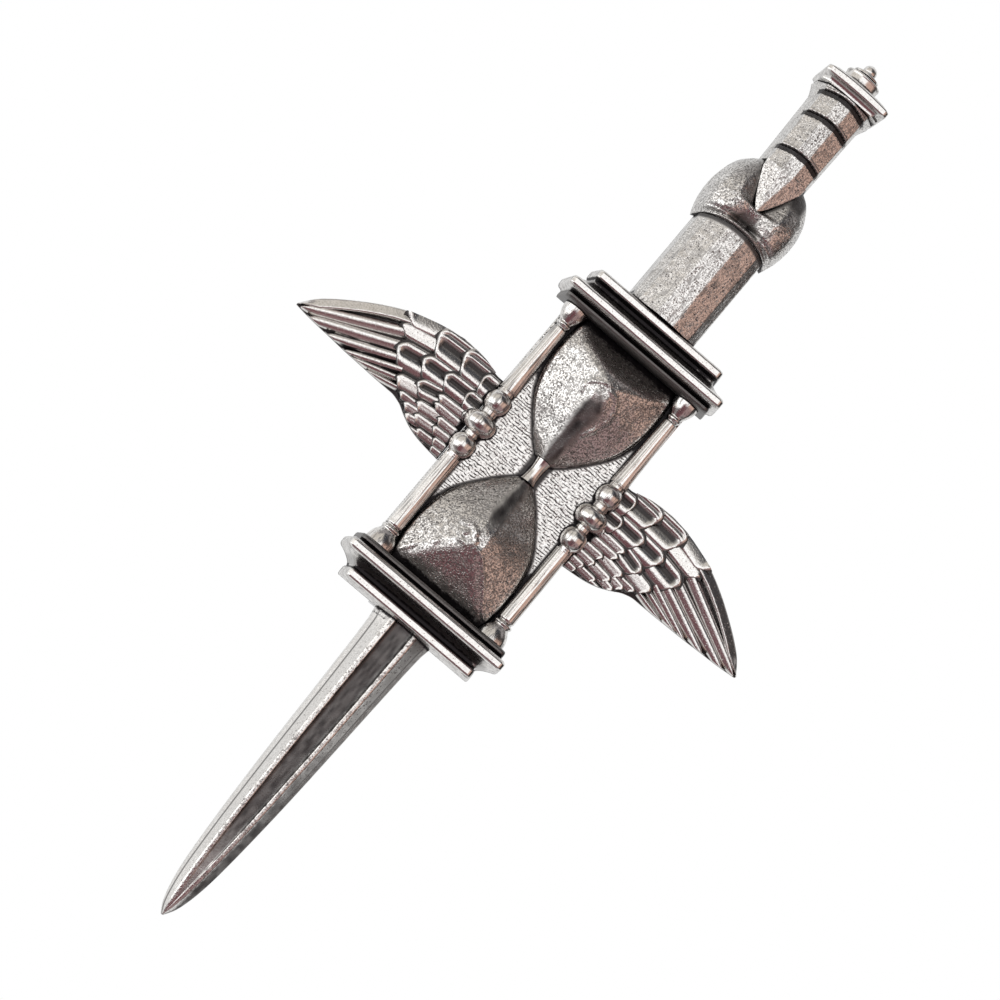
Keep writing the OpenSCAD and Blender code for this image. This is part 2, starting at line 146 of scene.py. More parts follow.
def tube(name, x, y, z, sharp=55):  # rows of these are rings, joined and closed at both ends
    return makePiece(name, np.stack([x, y, z], -1).reshape(-1, 3), loftFaces(*x.shape), sharp)


def loft(name, ys, outlines, sharp=55):  # outlines are (rows, corners, 2) across the dagger, one for each y
    x, z = outlines[..., 0], outlines[..., 1]
    return tube(name, x, np.broadcast_to(ys[:, None], x.shape), z, sharp)


def reliefFaces(m, n):  # front of m rows and n columns, and a wall and back from its rim
    i, j = np.arange(m - 1)[:, None] * n, np.arange(n - 1)[None, :]
    quads = np.stack([i + j, i + j + 1, i + n + j + 1, i + n + j], -1).reshape(-1, 4).tolist()
    rim = list(range(n)) + [k * n + n - 1 for k in range(1, m)]
    rim += [(m - 1) * n + k for k in range(n - 2, -1, -1)] + [k * n for k in range(m - 2, 0, -1)]
    return quads, rim


def relief(name, front, base, sharp=55, drop=3):  # front is (rows, columns, 3); its rim drops to base
    m, n = front.shape[:2]
    quads, rim = reliefFaces(m, n)
    points = [front.reshape(-1, 3)]
    edge, count, upper = front.reshape(-1, 3)[rim], m * n, rim
    for k in range(1, drop + 1):
        lower = edge.copy()
        lower[:, 2] += (base - edge[:, 2]) * k / drop
        points.append(lower)
        ids = list(range(count, count + len(rim)))
        quads += [[upper[a - 1], upper[a], ids[a], ids[a - 1]] for a in range(len(rim))]
        upper, count = ids, count + len(rim)
    return makePiece(name, np.concatenate(points), quads + [upper], sharp)


def corners(mesh):
    co = np.empty(len(mesh.vertices) * 3, np.float32)
    mesh.vertices.foreach_get("co", co)
    return co.reshape(-1, 3).astype(float) / mm


def setMarks(mesh, key, values):  # a number from 0 to 1 at each corner, which the finish reads
    layer = mesh.attributes.get(key) or mesh.attributes.new(key, "FLOAT", "POINT")
    layer.data.foreach_set("value", values.astype(np.float32))


def rowsOf(low, high, pitch, extra=()):  # places along the dagger, with more of them where something changes
    ys = np.arange(low, high, pitch)
    return np.unique(np.round(np.concatenate([ys, [high], *extra]), 4))


backZ = nodeBox("back_panel")[0][2]
panelZ = nodeBox("back_panel")[1][2]
made = {}


bladeStyle = {
    "edgeTall": 0.42, "rimWidth": 0.42, "rimShare": 0.16, "ledge": 0.4, "ridgeRound": 0.1,
    "fullerDepth": 0.42, "fullerHalf": 1.05, "waviness": 0.014,
    "sections": [  # along from the tip, half width, height, half width of the fuller, as shares
        [0, 0.035, 0.24, 0.01], [0.012, 0.12, 0.3, 0.02], [0.03, 0.22, 0.38, 0.06], [0.06, 0.325, 0.47, 0.14],
        [0.1, 0.42, 0.55, 0.22], [0.147, 0.495, 0.62, 0.33], [0.21, 0.56, 0.69, 0.46], [0.3, 0.63, 0.77, 0.6],
        [0.44, 0.715, 0.85, 0.76], [0.6, 0.785, 0.91, 0.88], [0.8, 0.86, 0.96, 0.97], [0.965, 0.94, 1, 1],
        [1, 1, 1, 1]]}


def makeBlade(style):
    low, high = nodeBox("blade")
    length, half, top = high[1] - low[1], (high[0] - low[0]) / 2, high[2] - backZ
    ys = rowsOf(low[1], high[1], 0.14, [low[1] + np.array([0.03, 0.07, 0.11, 0.2, 0.27])])
    s = (ys - low[1]) / length
    w = through(style["sections"], 1, s) * half
    h = through(style["sections"], 2, s) * top
    f = through(style["sections"], 3, s) * style["fullerHalf"]
    edge = h * style["edgeTall"]
    rim = np.minimum(style["rimWidth"], w * style["rimShare"])
    dip = style["fullerDepth"] * f / style["fullerHalf"]
    zero = np.zeros_like(w)
    ledge = np.minimum(style["ledge"], (w - rim - f) * 0.35)  # narrow flat between the fuller and the face
    side = [(w, zero), (w, edge), (w - rim, edge * 1.4), (f + ledge, h - 0.03), (f, h), (f * 0.8, h - dip)]
    keys = bothSides([(x, backZ + z) for x, z in side])
    turns = [0, 0.1, 0.1, 0.12, style["ridgeRound"], 0.3]
    out = roundedOutlines(keys, turns + turns[::-1], 0.11)
    x, y = out[..., 0], np.broadcast_to(ys[:, None], out.shape[:2])
    front = step(0.2, 0.9, out[..., 1] - backZ)
    out[..., 1] += front * style["waviness"] * (unevenness(x, y, 1.6, 3) + 0.6 * unevenness(x, y, 0.6, 4))
    return loft("blade_dressed", ys, out)


made["blade"] = makeBlade(bladeStyle)
print("blade made")


capStyle = {
    "lean": 0.4, "round": 0.12,
    "profile": [  # along from the outer to the inner face, half width, height, as shares
        [0, 0.8, 0.70], [0.012, 0.81, 0.735], [0.03, 0.815, 0.77], [0.06, 0.818, 0.789],
        [0.08, 0.819, 0.792], [0.19, 0.819, 0.792], [0.215, 0.817, 0.784], [0.245, 0.81, 0.75],
        [0.262, 0.8, 0.7], [0.29, 0.803, 0.665], [0.35, 0.82, 0.665], [0.42, 0.86, 0.71],
        [0.48, 0.91, 0.79], [0.515, 0.945, 0.86], [0.53, 0.965, 0.93], [0.555, 0.985, 0.972],
        [0.59, 0.996, 0.995], [0.61, 1, 1], [0.715, 1, 1], [0.735, 0.998, 0.995], [0.77, 0.99, 0.97],
        [0.8, 0.975, 0.93], [0.815, 0.95, 0.85], [0.84, 0.935, 0.79], [0.87, 0.935, 0.81],
        [0.9, 0.938, 0.835], [0.94, 0.938, 0.835], [0.97, 0.936, 0.82], [1, 0.93, 0.78]]}


def makeCap(node, style, outer):  # outer is -1 where the outer face looks to the tip, or 1
    low, high = nodeBox(node)
    depth, half, top = high[1] - low[1], (high[0] - low[0]) / 2 - style["lean"], high[2] - backZ
    s = np.unique(np.concatenate([np.linspace(0, 1, 49), [r[0] for r in style["profile"]]]))
    w, h = through(style["profile"], 1, s) * half, through(style["profile"], 2, s) * top
    side = [(w + style["lean"], 0 * w), (w + style["lean"] * 0.5, h * 0.5), (w, h - 0.3), (w - 0.3, h)]
    out = roundedOutlines(bothSides([(x, backZ + z) for x, z in side]), style["round"], 0.22)
    ys = low[1] + s * depth if outer < 0 else high[1] - s * depth
    x, y = out[..., 0], np.broadcast_to(ys[:, None], out.shape[:2])
    waves = 0.02 * unevenness(x, y * 0.3, 1.1, 7) + 0.012 * unevenness(x, y, 0.5, 8)
    out[..., 1] += step(1, 3, out[..., 1] - backZ) * waves
    return loft(node + "_dressed", ys, out, 48)


made["lower_cap"] = makeCap("lower_cap", capStyle, -1)
made["upper_cap"] = makeCap("upper_cap", capStyle, 1)
print("caps made")


panelStyle = {"pitch": 0.13, "hatch": 0.02, "pitting": 0.02, "round": 0.1, "toShaft": 0.775}


def makePanel(style):
    low, high = nodeBox("back_panel")
    xs, ys = rowsOf(low[0], high[0], style["pitch"]), rowsOf(low[1], high[1], style["pitch"])
    x, y = np.meshgrid(xs, ys)
    edge = np.minimum.reduce([x - low[0], high[0] - x, y - low[1], high[1] - y])
    z = high[2] - style["round"] * (1 - step(0, 0.25, edge))
    z -= style["hatch"] * (0.5 + 0.5 * unevenness(x * 0.35, y, 0.3, 11))
    z -= style["pitting"] * (0.5 + 0.5 * unevenness(x, y, 0.35, 12))
    return relief("back_panel_dressed", np.stack([x, y, z], -1), low[2])


made["back_panel"] = makePanel(panelStyle)
print("panel made")


glassStyle = {
    "flatHalf": 0.55, "soft": 0.24, "endSoft": 2.6, "cut": 0.75, "waviness": 0.05, "fall": 0.85,
    "curls": [  # raised ragged lines where the ridges meet: height and width, then places in millimetres
        [0.2, 0.17, [[-1.7, 9.5], [-1.87, 10.27], [-1.28, 10.9], [-0.14, 11.4], [0.4, 10.96], [1.25, 10.8],
                     [1.94, 9.9], [2.04, 8.9], [1.6, 7.5], [1.07, 6.5]]],
        [0.2, 0.17, [[-2.2, -6.4], [-1.5, -6.07], [-0.66, -6.41], [-0.21, -7.21], [-0.73, -7.9],
                     [-1.52, -7.8], [-1.83, -7.28], [-1.35, -6.86]]],
        [0.16, 0.15, [[-0.2, -7.38], [1.07, -7.73], [1.6, -8.25], [2.28, -8.77], [3.15, -9.8], [4.0, -10.84],
                      [4.9, -11.7]]],
        [0.08, 0.2, [[-1.87, -7.9], [-3.77, -10.15], [-5.1, -11.9]]]],
    "widths": [[0, 0.17], [0.04, 0.27], [0.1, 0.4], [0.18, 0.55], [0.26, 0.69], [0.34, 0.81], [0.43, 0.9],
               [0.52, 0.955], [0.6, 0.985], [0.67, 1], [0.76, 1], [0.86, 0.985], [0.94, 0.965], [1, 0.93]],
    "ridges": {  # height of the ridge along each bulb from the neck, as shares
        "lower_bulb": [[0, 0.3], [0.1, 0.44], [0.3, 0.74], [0.42, 0.92], [0.5, 1.0], [0.56, 1.03],
                       [0.64, 1.04], [1, 1.04]],
        "upper_bulb": [[0, 0.3], [0.1, 0.42], [0.3, 0.68], [0.48, 0.92], [0.56, 1.01], [0.6, 1.035],
                       [0.7, 1.045], [1, 1.045]]},
    "slopes": {  # height of the end that falls away to the cap
        "lower_bulb": [[0, 2.4], [0.6, 1.08], [1, 0.13]],
        "upper_bulb": [[0, 3.7], [0.74, 1.06], [0.93, 0.27], [1, 0.1]]},
    "stripes": {  # painted dark reflections down the bulbs: half width near the neck and at the far end, and distances from the neck
        "lower_bulb": (0.62, 1.0, 1.3, 6.6), "upper_bulb": (0.55, 1.2, 1.3, 8.6)}}


def lineDistance(x, y, places):  # to the nearest place on a line through the listed ones
    best = np.full(np.shape(x), 99.0)
    for (ax, ay), (bx, by) in zip(places, places[1:]):
        t = np.clip(((x - ax) * (bx - ax) + (y - ay) * (by - ay)) / ((bx - ax)**2 + (by - ay)**2), 0, 1)
        best = np.minimum(best, np.hypot(x - ax - t * (bx - ax), y - ay - t * (by - ay)))
    return best


def softMin(a, b, k):  # smaller of two heights, with the crease rounded over k
    h = np.clip(0.5 + 0.5 * (b - a) / k, 0, 1)
    return b + (a - b) * h - k * h * (1 - h)


def makeBulb(node, style, way):  # way is -1 for the bulb towards the tip, or 1
    low, high = nodeBox(node)
    reach, half, top = high[1] - low[1], (high[0] - low[0]) / 2, high[2] - low[2]
    spread = np.sin(np.linspace(-math.pi / 2, math.pi / 2, 121)) * 0.7 + np.linspace(-1, 1, 121) * 0.3
    along, across = np.meshgrid(np.linspace(0, 1, 130), spread, indexing="ij")
    wide, tall = through(style["widths"], 1, along) * half, through(style["ridges"][node], 1, along) * top
    x = across * wide
    dish = step(0.6, 0.86, along) * (way > 0)
    flat = style["flatHalf"] * np.clip(0.35 + along * 1.3, 0, 1) * (1 - dish)
    soft = style["soft"] + style["endSoft"] * dish  # rounder where the upper bulb's end falls away
    out = np.sqrt(np.maximum(np.abs(x) - flat, 0)**2 + soft**2) - soft
    out = out * np.maximum(wide - flat, 0.1) / (np.sqrt(np.maximum(wide - flat, 0.1)**2 + soft**2) - soft)
    gable = tall * (1 - style["fall"] * np.clip(out / np.maximum(wide - flat - 0.2, 0.3), 0, 1.15))
    end = through(style["slopes"][node], 1, along) * top
    z = softMin(gable, end, style["cut"])
    y = low[1] + along * reach if way > 0 else high[1] - along * reach
    rim = step(0, 0.2, 1 - np.abs(across))
    for rise, thick, places in style["curls"]:
        d = lineDistance(x, y, places) + 0.09 * unevenness(x, y, 0.35, 23)
        z = z + rise * np.exp(-(d / thick)**2) * (0.75 + 0.45 * unevenness(x, y, 0.7, 24))
    z = z + style["waviness"] * (unevenness(x, y, 1.4, 21) + 0.45 * unevenness(x, y, 0.5, 22)) * rim
    z = np.clip(z, 0.14, None) * (0.55 + 0.45 * step(0, 0.06, 1 - np.abs(across)))
    z[:, 0] = z[:, -1] = 0.1
    return relief(node + "_dressed", np.stack([x, y, low[2] + z], -1), low[2], 60, 1)


made["lower_bulb"] = makeBulb("lower_bulb", glassStyle, -1)
made["upper_bulb"] = makeBulb("upper_bulb", glassStyle, 1)


def turned(name, ys, radii, centreX, centreZ, sides, floor=None):  # radii for each y, or for each y and side
    a = np.linspace(0, 2 * math.pi, sides, endpoint=False)
    r = np.broadcast_to(radii, (len(ys), sides))
    x, z = centreX + r * np.cos(a), centreZ + r * np.sin(a)
    if floor is not None:
        z = np.maximum(z, floor)
    return tube(name, x, np.broadcast_to(ys[:, None], x.shape), z, 60)


neckStyle = {"waist": 0.8, "rings": 40, "sides": 48}


def makeNeck(style):
    low, high = nodeBox("neck")
    ys = np.linspace(low[1], high[1], style["rings"])
    t = np.abs((ys - (low[1] + high[1]) / 2) / (high[1] - low[1]) * 2)
    r = (high[0] - low[0]) / 2 * (style["waist"] + (1 - style["waist"]) * t**2)
    return turned("neck_dressed", ys, r[:, None], 0, (low[2] + high[2]) / 2, style["sides"])


made["neck"] = makeNeck(neckStyle)
print("hourglass made")


columnStyle = {
    "shaft": [[1.7, 0.84], [11, 0.76], [17.5, 0.9], [20, 0.8], [26.2, 0.64]],  # up from the foot, radius
    "foot": 1.45, "capital": 1.24, "flareLength": 1.7, "ring": 1.16, "bead": 1.55, "beadLength": 2.3,
    "smallBead": 1.18, "beadUp": 14.3, "flutes": 16, "fluteDepth": 0.05, "sides": 64, "lift": 0.4,
    "rings": 300, "beadRings": (10, 19, 130)}


def columnRadius(t, reach, style):  # radius at a distance t from the foot
    end = np.minimum(t, reach - t)
    shaft = through(style["shaft"], 1, t)
    mouth = style["flareLength"]
    q = np.clip(1 - end / mouth, 0, 1)
    flare = np.where(t < reach / 2, style["foot"], style["capital"])
    trumpet = shaft * 0.93 + (flare - shaft * 0.93) * q + 0.16 * np.sin(math.pi * q)
    r = np.where(end < mouth, trumpet, shaft)
    ring = style["ring"] * shaft * np.sqrt(np.clip(1 - ((end - mouth * 1.1) / (mouth * 0.16))**2 * 0.5, 0, 1))
    r = np.where((end > mouth * 0.98) & (end < mouth * 1.22), ring, r)
    r = np.where((end > mouth * 1.22) & (end < mouth * 1.32), shaft * 0.84, r)
    small = style["smallBead"]
    gap = style["beadLength"] / 2 + small + 0.16
    for up, radius, length in ((-gap, small, small * 2.05), (0, style["bead"], style["beadLength"]),
                               (gap, small, small * 2.05)):
        d = np.abs(t - style["beadUp"] - up) / (length / 2)
        r = np.where(d < 1.12, np.maximum(radius * np.sqrt(np.clip(1 - d**2.2, 0, 1)), shaft * 0.8), r)
    return r


def makeColumn(node, style):
    low, high = nodeBox(node)
    reach, centre = high[1] - low[1], (low[0] + high[0]) / 2
    t = np.linspace(0, reach, style["rings"])
    t = np.unique(np.concatenate([t, np.linspace(*style["beadRings"])]))  # closer at the beads
    r = columnRadius(t, reach, style)
    plain = np.abs(r - through(style["shaft"], 1, t)) < 0.02  # only the plain shaft is fluted
    plain = np.convolve(plain.astype(float), np.ones(9) / 9, "same")
    a = np.linspace(0, 2 * math.pi, style["sides"], endpoint=False)
    flutes = style["fluteDepth"] * (0.5 + 0.5 * np.cos(style["flutes"] * a))
    r = r[:, None] - flutes[None, :] * plain[:, None]
    return turned(node + "_dressed", low[1] + t, r, centre, panelZ + style["lift"], style["sides"], low[2])


made["column_left"] = makeColumn("column_left", columnStyle)
made["column_right"] = makeColumn("column_right", columnStyle)
print("columns made")


gripStyle = {"side": 0.96, "brow": 0.66, "shoulder": 0.74, "middle": 0.24, "round": 0.14, "waviness": 0.02}


def makeGrip(style):  # flat-backed bar: three flats in front between sloping sides
    low, high = nodeBox("grip")
    ys = rowsOf(low[1], high[1], 0.13)
    half = np.full_like(ys, (high[0] - low[0]) / 2)
    tall = high[2] - backZ
    side = [(1, 0), (style["side"], style["brow"]), (style["shoulder"], 0.86), (style["middle"], 1)]
    keys = bothSides([(half * w, backZ + tall * h + 0 * half) for w, h in side])
    out = roundedOutlines(keys, style["round"], 0.12)
    x, z = out[..., 0], out[..., 1]
    foot, half = nodeBox("collar")[0][1], nodeBox("collar")[1][0]
    arch = collarStyle["rise"] * (1 - (x / half)**2)  # the grip ends under the arched foot of the collar
    share = (ys - low[1]) / (high[1] - low[1])
    y = low[1] + share[:, None] * (foot - 0.03 + arch - low[1])
    waves = unevenness(x * 2, y * 0.7, 1.2, 31) + 0.7 * unevenness(x, y, 0.45, 32)
    z = z + step(1.5, 3, z - backZ) * style["waviness"] * waves
    return tube("grip_dressed", x, y, z)


collarStyle = {
    "rise": 1.2, "lip": 0.16, "waviness": 0.06, "crestUp": 3.5, "lean": 1.17, "slope": 0.46, "soft": 0.9,
    "crestHalf": 0.7, "pointHalf": 2.5, "pointReach": 4.5, "pointCurve": 0.74, "valley": 4.28,
    "outline": [  # along from the foot, half width share
        [0, 0.86], [0.08, 0.905], [0.18, 0.95], [0.3, 0.985], [0.42, 1], [0.52, 0.995], [0.66, 0.955],
        [0.8, 0.87], [0.92, 0.73], [1, 0.56]],
    "lobe": [  # distance from the middle, height of the lobes, height of the lip
        [0, 5.34, 5.0], [0.6, 5.35, 5.0], [1.2, 5.38, 4.95], [1.8, 5.38, 4.8], [2.6, 5.24, 4.5],
        [3.3, 4.95, 4.0], [3.9, 4.5, 3.4], [4.4, 3.8, 2.7], [4.8, 2.7, 2.0]]}


def belowFold(up, out, style):  # how far a place is below the line of the fold
    return style["crestUp"] - style["lean"] * np.maximum(out - style["crestHalf"], 0) - up


def makeCollar(style):
    low, high = nodeBox("collar")
    foot, reach, half, top = low[1], high[1] - low[1], (high[0] - low[0]) / 2, high[2] - backZ
    spread = np.sin(np.linspace(-math.pi / 2, math.pi / 2, 141)) * 0.55 + np.linspace(-1, 1, 141) * 0.45
    along, across = np.meshgrid(np.linspace(0, 1, 140), spread, indexing="ij")
    wide = through(style["outline"], 1, along) * half
    x = across * wide
    y = foot + along * reach + style["rise"] * (1 - (x / half)**2) * (1 - along)
    out, up = np.abs(x), y - foot
    near = np.clip(out + (half - wide) * np.clip(out / np.maximum(wide, 1), 0, 1)**2, 0, half)
    above = np.clip((up - style["crestUp"]) / (reach - style["crestUp"]), 0, 1)
    lobe = through(style["lobe"], 1, near) * (1 - 0.36 * above**1.6)
    below = belowFold(up, out, style)
    z = lobe - style["slope"] * (below + np.sqrt(below**2 + style["soft"]**2)) / 2
    fromFoot = along * reach
    z -= 0.22 * np.exp(-((fromFoot - 0.8) / 0.3)**2)
    z = z + (through(style["lobe"], 2, near) - z) * step(0.72, 0.34, fromFoot)
    z += style["lip"] * np.exp(-((fromFoot - 0.2) / 0.16)**2) - 0.4 * step(0.14, 0, fromFoot)**2
    share = np.clip((up - style["crestUp"] - 0.06) / style["pointReach"], 0, 1)
    point = style["pointHalf"] * (0.02 + 0.98 * share**style["pointCurve"])
    beside = np.clip(out - point * (up > style["crestUp"]), 0, None)
    valley = style["valley"] + 0.62 * beside + 1.3 * step(0.5, -0.5, up - style["crestUp"])
    z = np.where(fromFoot > 2, softMin(z, valley, 0.3), z)
    rim = 1 - step(0, 0.08, 1 - np.abs(across))
    z = z * (1 - 0.25 * rim)
    waves = style["waviness"] * (unevenness(x, y, 1.3, 41) + 0.5 * unevenness(x, y, 0.5, 42))
    z += waves * (1 - rim) * step(0, 0.6, beside)
    z = np.clip(z, 1.2, top)
    return relief("collar_dressed", np.stack([x, y, backZ + z], -1), backZ, 60, 6)


made["grip"] = makeGrip(gripStyle)
made["collar"] = makeCollar(collarStyle)

handleStyle = {
    "sideTall": 0.86, "shoulder": 0.84, "middle": 0.24, "round": 0.1,
    "grooves": [1.6, 5.6, 8.1],  # up from the collar's end
    "grooveWidth": 0.56, "grooveDepth": 0.5, "bow": 0.45, "bowHalf": 2.6, "pointSlope": 0.36, "spread": 0.5,
    "waviness": 0.015}


def fromGroove(x, y, up, style):  # distance from a bowed groove's middle, in half widths of the groove
    start = nodeBox("collar")[1][1] + 0.1
    return (y - (start + up) - style["bow"] * (0.5 - (x / style["bowHalf"])**2)) / (style["grooveWidth"] / 2)


def makeHandle(style):
    low, high = nodeBox("handle")
    shoulderY = nodeBox("collar")[1][1] + 0.1  # where the whole handle starts, past the collar
    tall, half = high[2] - backZ, high[0] - style["spread"]
    pointLength = shoulderY - 0.05 - low[1]
    ys = low[1] + pointLength * np.linspace(0, 1, 60)**1.15
    ys = np.concatenate([ys, rowsOf(shoulderY, high[1], 0.07)])
    u = np.clip((ys - low[1]) / pointLength, 0, 1)
    inPoint = ys < shoulderY - 0.01
    share = (ys - shoulderY) / (high[1] - shoulderY)
    lancet = 0.02 + 0.87 * u**collarStyle["pointCurve"] - 0.07 * step(0.8, 1, u)
    w = np.where(inPoint, lancet, 0.92 + 0.08 * share) * half
    side = w + style["spread"] * np.clip((share - 0.86) / 0.14, 0, 1)**1.3
    top = high[2] - np.where(inPoint, tall * 0.05 * (1 - u), 0)
    flat = style["middle"] * half * np.where(inPoint, u, 1)
    flank = top - np.maximum(w * 0.93 - flat, 0) * style["pointSlope"]
    z0 = backZ + tall * style["sideTall"]

    def pick(inside, outside):  # the point lies on the collar, and the rest reaches down to the back
        return np.where(inPoint, inside, outside)

    keys = [(pick(w, side), pick(z0, backZ)),
            (pick(w * 0.99, side * 0.97), pick(z0 + (flank - z0) * 0.7, backZ + tall * 0.5)),
            (pick(w * 0.93, w * style["shoulder"]), pick(flank, z0)), (flat, top)]
    out = roundedOutlines(bothSides(keys), style["round"], 0.12)
    x, y = out[..., 0], np.broadcast_to(ys[:, None], out.shape[:2])
    front = step(0.45, 0.75, (out[..., 1] - backZ) / tall)
    for g in style["grooves"]:
        d = fromGroove(x, y, g, style)
        cut = 1 - step(0.75, 1.1, np.abs(d))
        lip = np.exp(-((d - 1.45) / 0.3)**2)
        out[..., 1] += front * (~inPoint[:, None]) * (0.05 * lip - style["grooveDepth"] * cut)
    waves = unevenness(x * 2, y * 0.7, 1.1, 51) + 0.6 * unevenness(x, y, 0.45, 52)
    out[..., 1] += front * style["waviness"] * waves
    out[..., 1] = np.minimum(out[..., 1], high[2])
    return loft("handle_dressed", ys, out)


made["handle"] = makeHandle(handleStyle)
print("grip, collar and handle made")


pommelStyle = {
    "round": 0.12, "bow": 0.3,
    "profile": [  # along from the handle, half width, inset of the front and rear, as shares
        [0, 0.93, 0.085], [0.1, 0.932, 0.082], [0.2, 0.94, 0.072], [0.28, 0.95, 0.05], [0.32, 0.965, 0.025],
        [0.345, 0.982, 0.01], [0.38, 0.994, 0.003], [0.42, 1, 0], [0.66, 1, 0], [0.7, 0.996, 0.003],
        [0.74, 0.985, 0.01], [0.78, 0.95, 0.028], [0.88, 0.82, 0.09], [1, 0.6, 0.2]]}


def makePommel(style):
    low, high = nodeBox("pommel_cap")
    s = np.unique(np.concatenate([np.linspace(0, 1, 41), [r[0] for r in style["profile"]]]))
    half, depth = (high[0] - low[0]) / 2, high[2] - low[2]
    w, inset = through(style["profile"], 1, s) * half, through(style["profile"], 2, s) * depth
    z0, z1 = low[2] + inset, high[2] - inset
    bevel = 0.8 - 0.5 * step(0, 0.5, s)
    side = [(0 * w, z0), (w - bevel, z0), (w, z0 + bevel), (w, z1 - bevel), (w - bevel, z1)]
    out = roundedOutlines(bothSides(side), style["round"], 0.2)[:, :-1]
    x, z = out[..., 0], out[..., 1]
    y = low[1] + s[:, None] * (high[1] - low[1] - style["bow"] * (x / half)**2)
    return tube("pommel_cap_dressed", x, y, z, 45)


finialStyle = {
    "rings": 70, "sides": 40,
    "tiers": [  # along from the cap, radius, as shares
        [0, 0.97], [0.28, 0.98], [0.33, 1], [0.37, 0.99], [0.405, 0.9], [0.43, 0.76], [0.445, 0.71],
        [0.49, 0.73], [0.55, 0.72], [0.59, 0.62], [0.62, 0.46], [0.645, 0.36], [0.72, 0.37], [0.82, 0.35],
        [0.91, 0.27], [0.96, 0.17], [1, 0.03]]}


def makeFinial(style):
    low, high = nodeBox("finial")
    s = np.linspace(0, 1, style["rings"])
    r = through(style["tiers"], 1, s) * (high[0] - low[0]) / 2
    ys = low[1] + s * (high[1] - low[1])
    return turned("finial_dressed", ys, r[:, None], 0, (low[2] + high[2]) / 2, style["sides"])


made["pommel_cap"] = makePommel(pommelStyle)
made["finial"] = makeFinial(finialStyle)
print("pommel made")


def feed(tree, socket, value):  # a socket takes a plain value or what another node puts out
    if isinstance(value, (int, float, tuple, str)):
        socket.default_value = value
    elif value is not None:
        tree.links.new(value, socket)


def addNode(tree, kind, inputs=(), **settings):
    node = tree.nodes.new(kind)
    for key, value in settings.items():
        setattr(node, key, value)
    for key, value in dict(inputs).items():
        feed(tree, node.inputs[key], value)
    return node


def maths(tree, operation, a, b=None):
    return addNode(tree, "ShaderNodeMath", {0: a, 1: b}, operation=operation).outputs[0]


def times(tree, a, b):
    return maths(tree, "MULTIPLY", a, b)


def larger(tree, a, b):
    return maths(tree, "MAXIMUM", a, b)


def mapped(tree, value, a, b, c=0.0, d=1.0):  # smoothly from c at a to d at b
    inputs = {"Value": value, "From Min": a, "From Max": b, "To Min": c, "To Max": d}
    return addNode(tree, "ShaderNodeMapRange", inputs, interpolation_type="SMOOTHSTEP").outputs["Result"]


def noise(tree, vector, scale, detail=2.0, roughness=0.55):
    inputs = {"Vector": vector, "Scale": scale, "Detail": detail, "Roughness": roughness}
    return addNode(tree, "ShaderNodeTexNoise", inputs).outputs["Fac"]


def colourMix(tree, factor, a, b):
    return addNode(tree, "ShaderNodeMix", {"Factor": factor, 6: a, 7: b}, data_type="RGBA").outputs[2]


def nodeGroup(name, inputs, outputs):  # a number makes a float input, anything else a vector
    group = bpy.data.node_groups.new(name, "ShaderNodeTree")
    for label, value in inputs.items():
        kind = "NodeSocketFloat" if isinstance(value, float) else "NodeSocketVector"
        feed(group, group.interface.new_socket(label, in_out="INPUT", socket_type=kind), value)
    for label in outputs:
        group.interface.new_socket(label, in_out="OUTPUT", socket_type="NodeSocketFloat")
    return group, addNode(group, "NodeGroupInput").outputs, addNode(group, "NodeGroupOutput").inputs


def castPits():  # small pits of a sand casting, some faint and some dark
    group, given, result = nodeGroup(
        "castPits", {"Vector": None, "Pits per Metre": 5000.0, "Amount": 0.5}, ("Pits", "Height"))
    vector, perMetre = given["Vector"], given["Pits per Metre"]
    cells = addNode(group, "ShaderNodeTexVoronoi", {"Vector": vector, "Scale": perMetre}).outputs
    chance = addNode(group, "ShaderNodeSeparateColor", {"Color": cells["Color"]}).outputs
    fine = noise(group, vector, times(group, perMetre, 1.1), 1.5, 0.6)
    broad = noise(group, vector, 800.0, 2.0, 0.5)
    size = maths(group, "ADD", mapped(group, broad, 0.3, 0.7, 0.16, 0.36),
                 mapped(group, fine, 0.3, 0.7, -0.12, 0.12))
    size = times(group, times(group, size, given["Amount"]), maths(group, "ADD", chance["Red"], 0.6))
    inner, outer = maths(group, "SUBTRACT", size, 0.08), maths(group, "ADD", size, 0.16)
    pits = mapped(group, cells["Distance"], inner, outer, 1.0, 0.0)
    pits = times(group, pits, mapped(group, chance["Green"], 0.0, 1.0, 0.25, 1.0))
    feed(group, result["Pits"], pits)
    feed(group, result["Height"], maths(group, "SUBTRACT", times(group, fine, 0.8), pits))
    return group


def oxideInRecess():  # blackening in hollows where a polishing wheel doesn't reach, and painted shade where a place is closed in
    group, given, result = nodeGroup(
        "oxideInRecess", {"Vector": None, "Recess": 0.0, "From": 0.2, "To": 0.5}, ("Mask",))
    broken = maths(group, "SUBTRACT", noise(group, given["Vector"], 2600.0, 3.0, 0.6), 0.5)
    value = maths(group, "ADD", given["Recess"], times(group, broken, 0.3))
    feed(group, result["Mask"], mapped(group, value, given["From"], given["To"]))
    return group


def edgeWear():  # bright worn metal on proud places
    group, given, result = nodeGroup("edgeWear", {"Vector": None, "Proud": 0.0, "Amount": 0.6}, ("Mask",))
    broken = noise(group, given["Vector"], 1500.0, 2.0, 0.5)
    value = times(group, given["Proud"], mapped(group, broken, 0.3, 0.6, 0.6, 1.0))
    feed(group, result["Mask"], times(group, value, given["Amount"]))
    return group


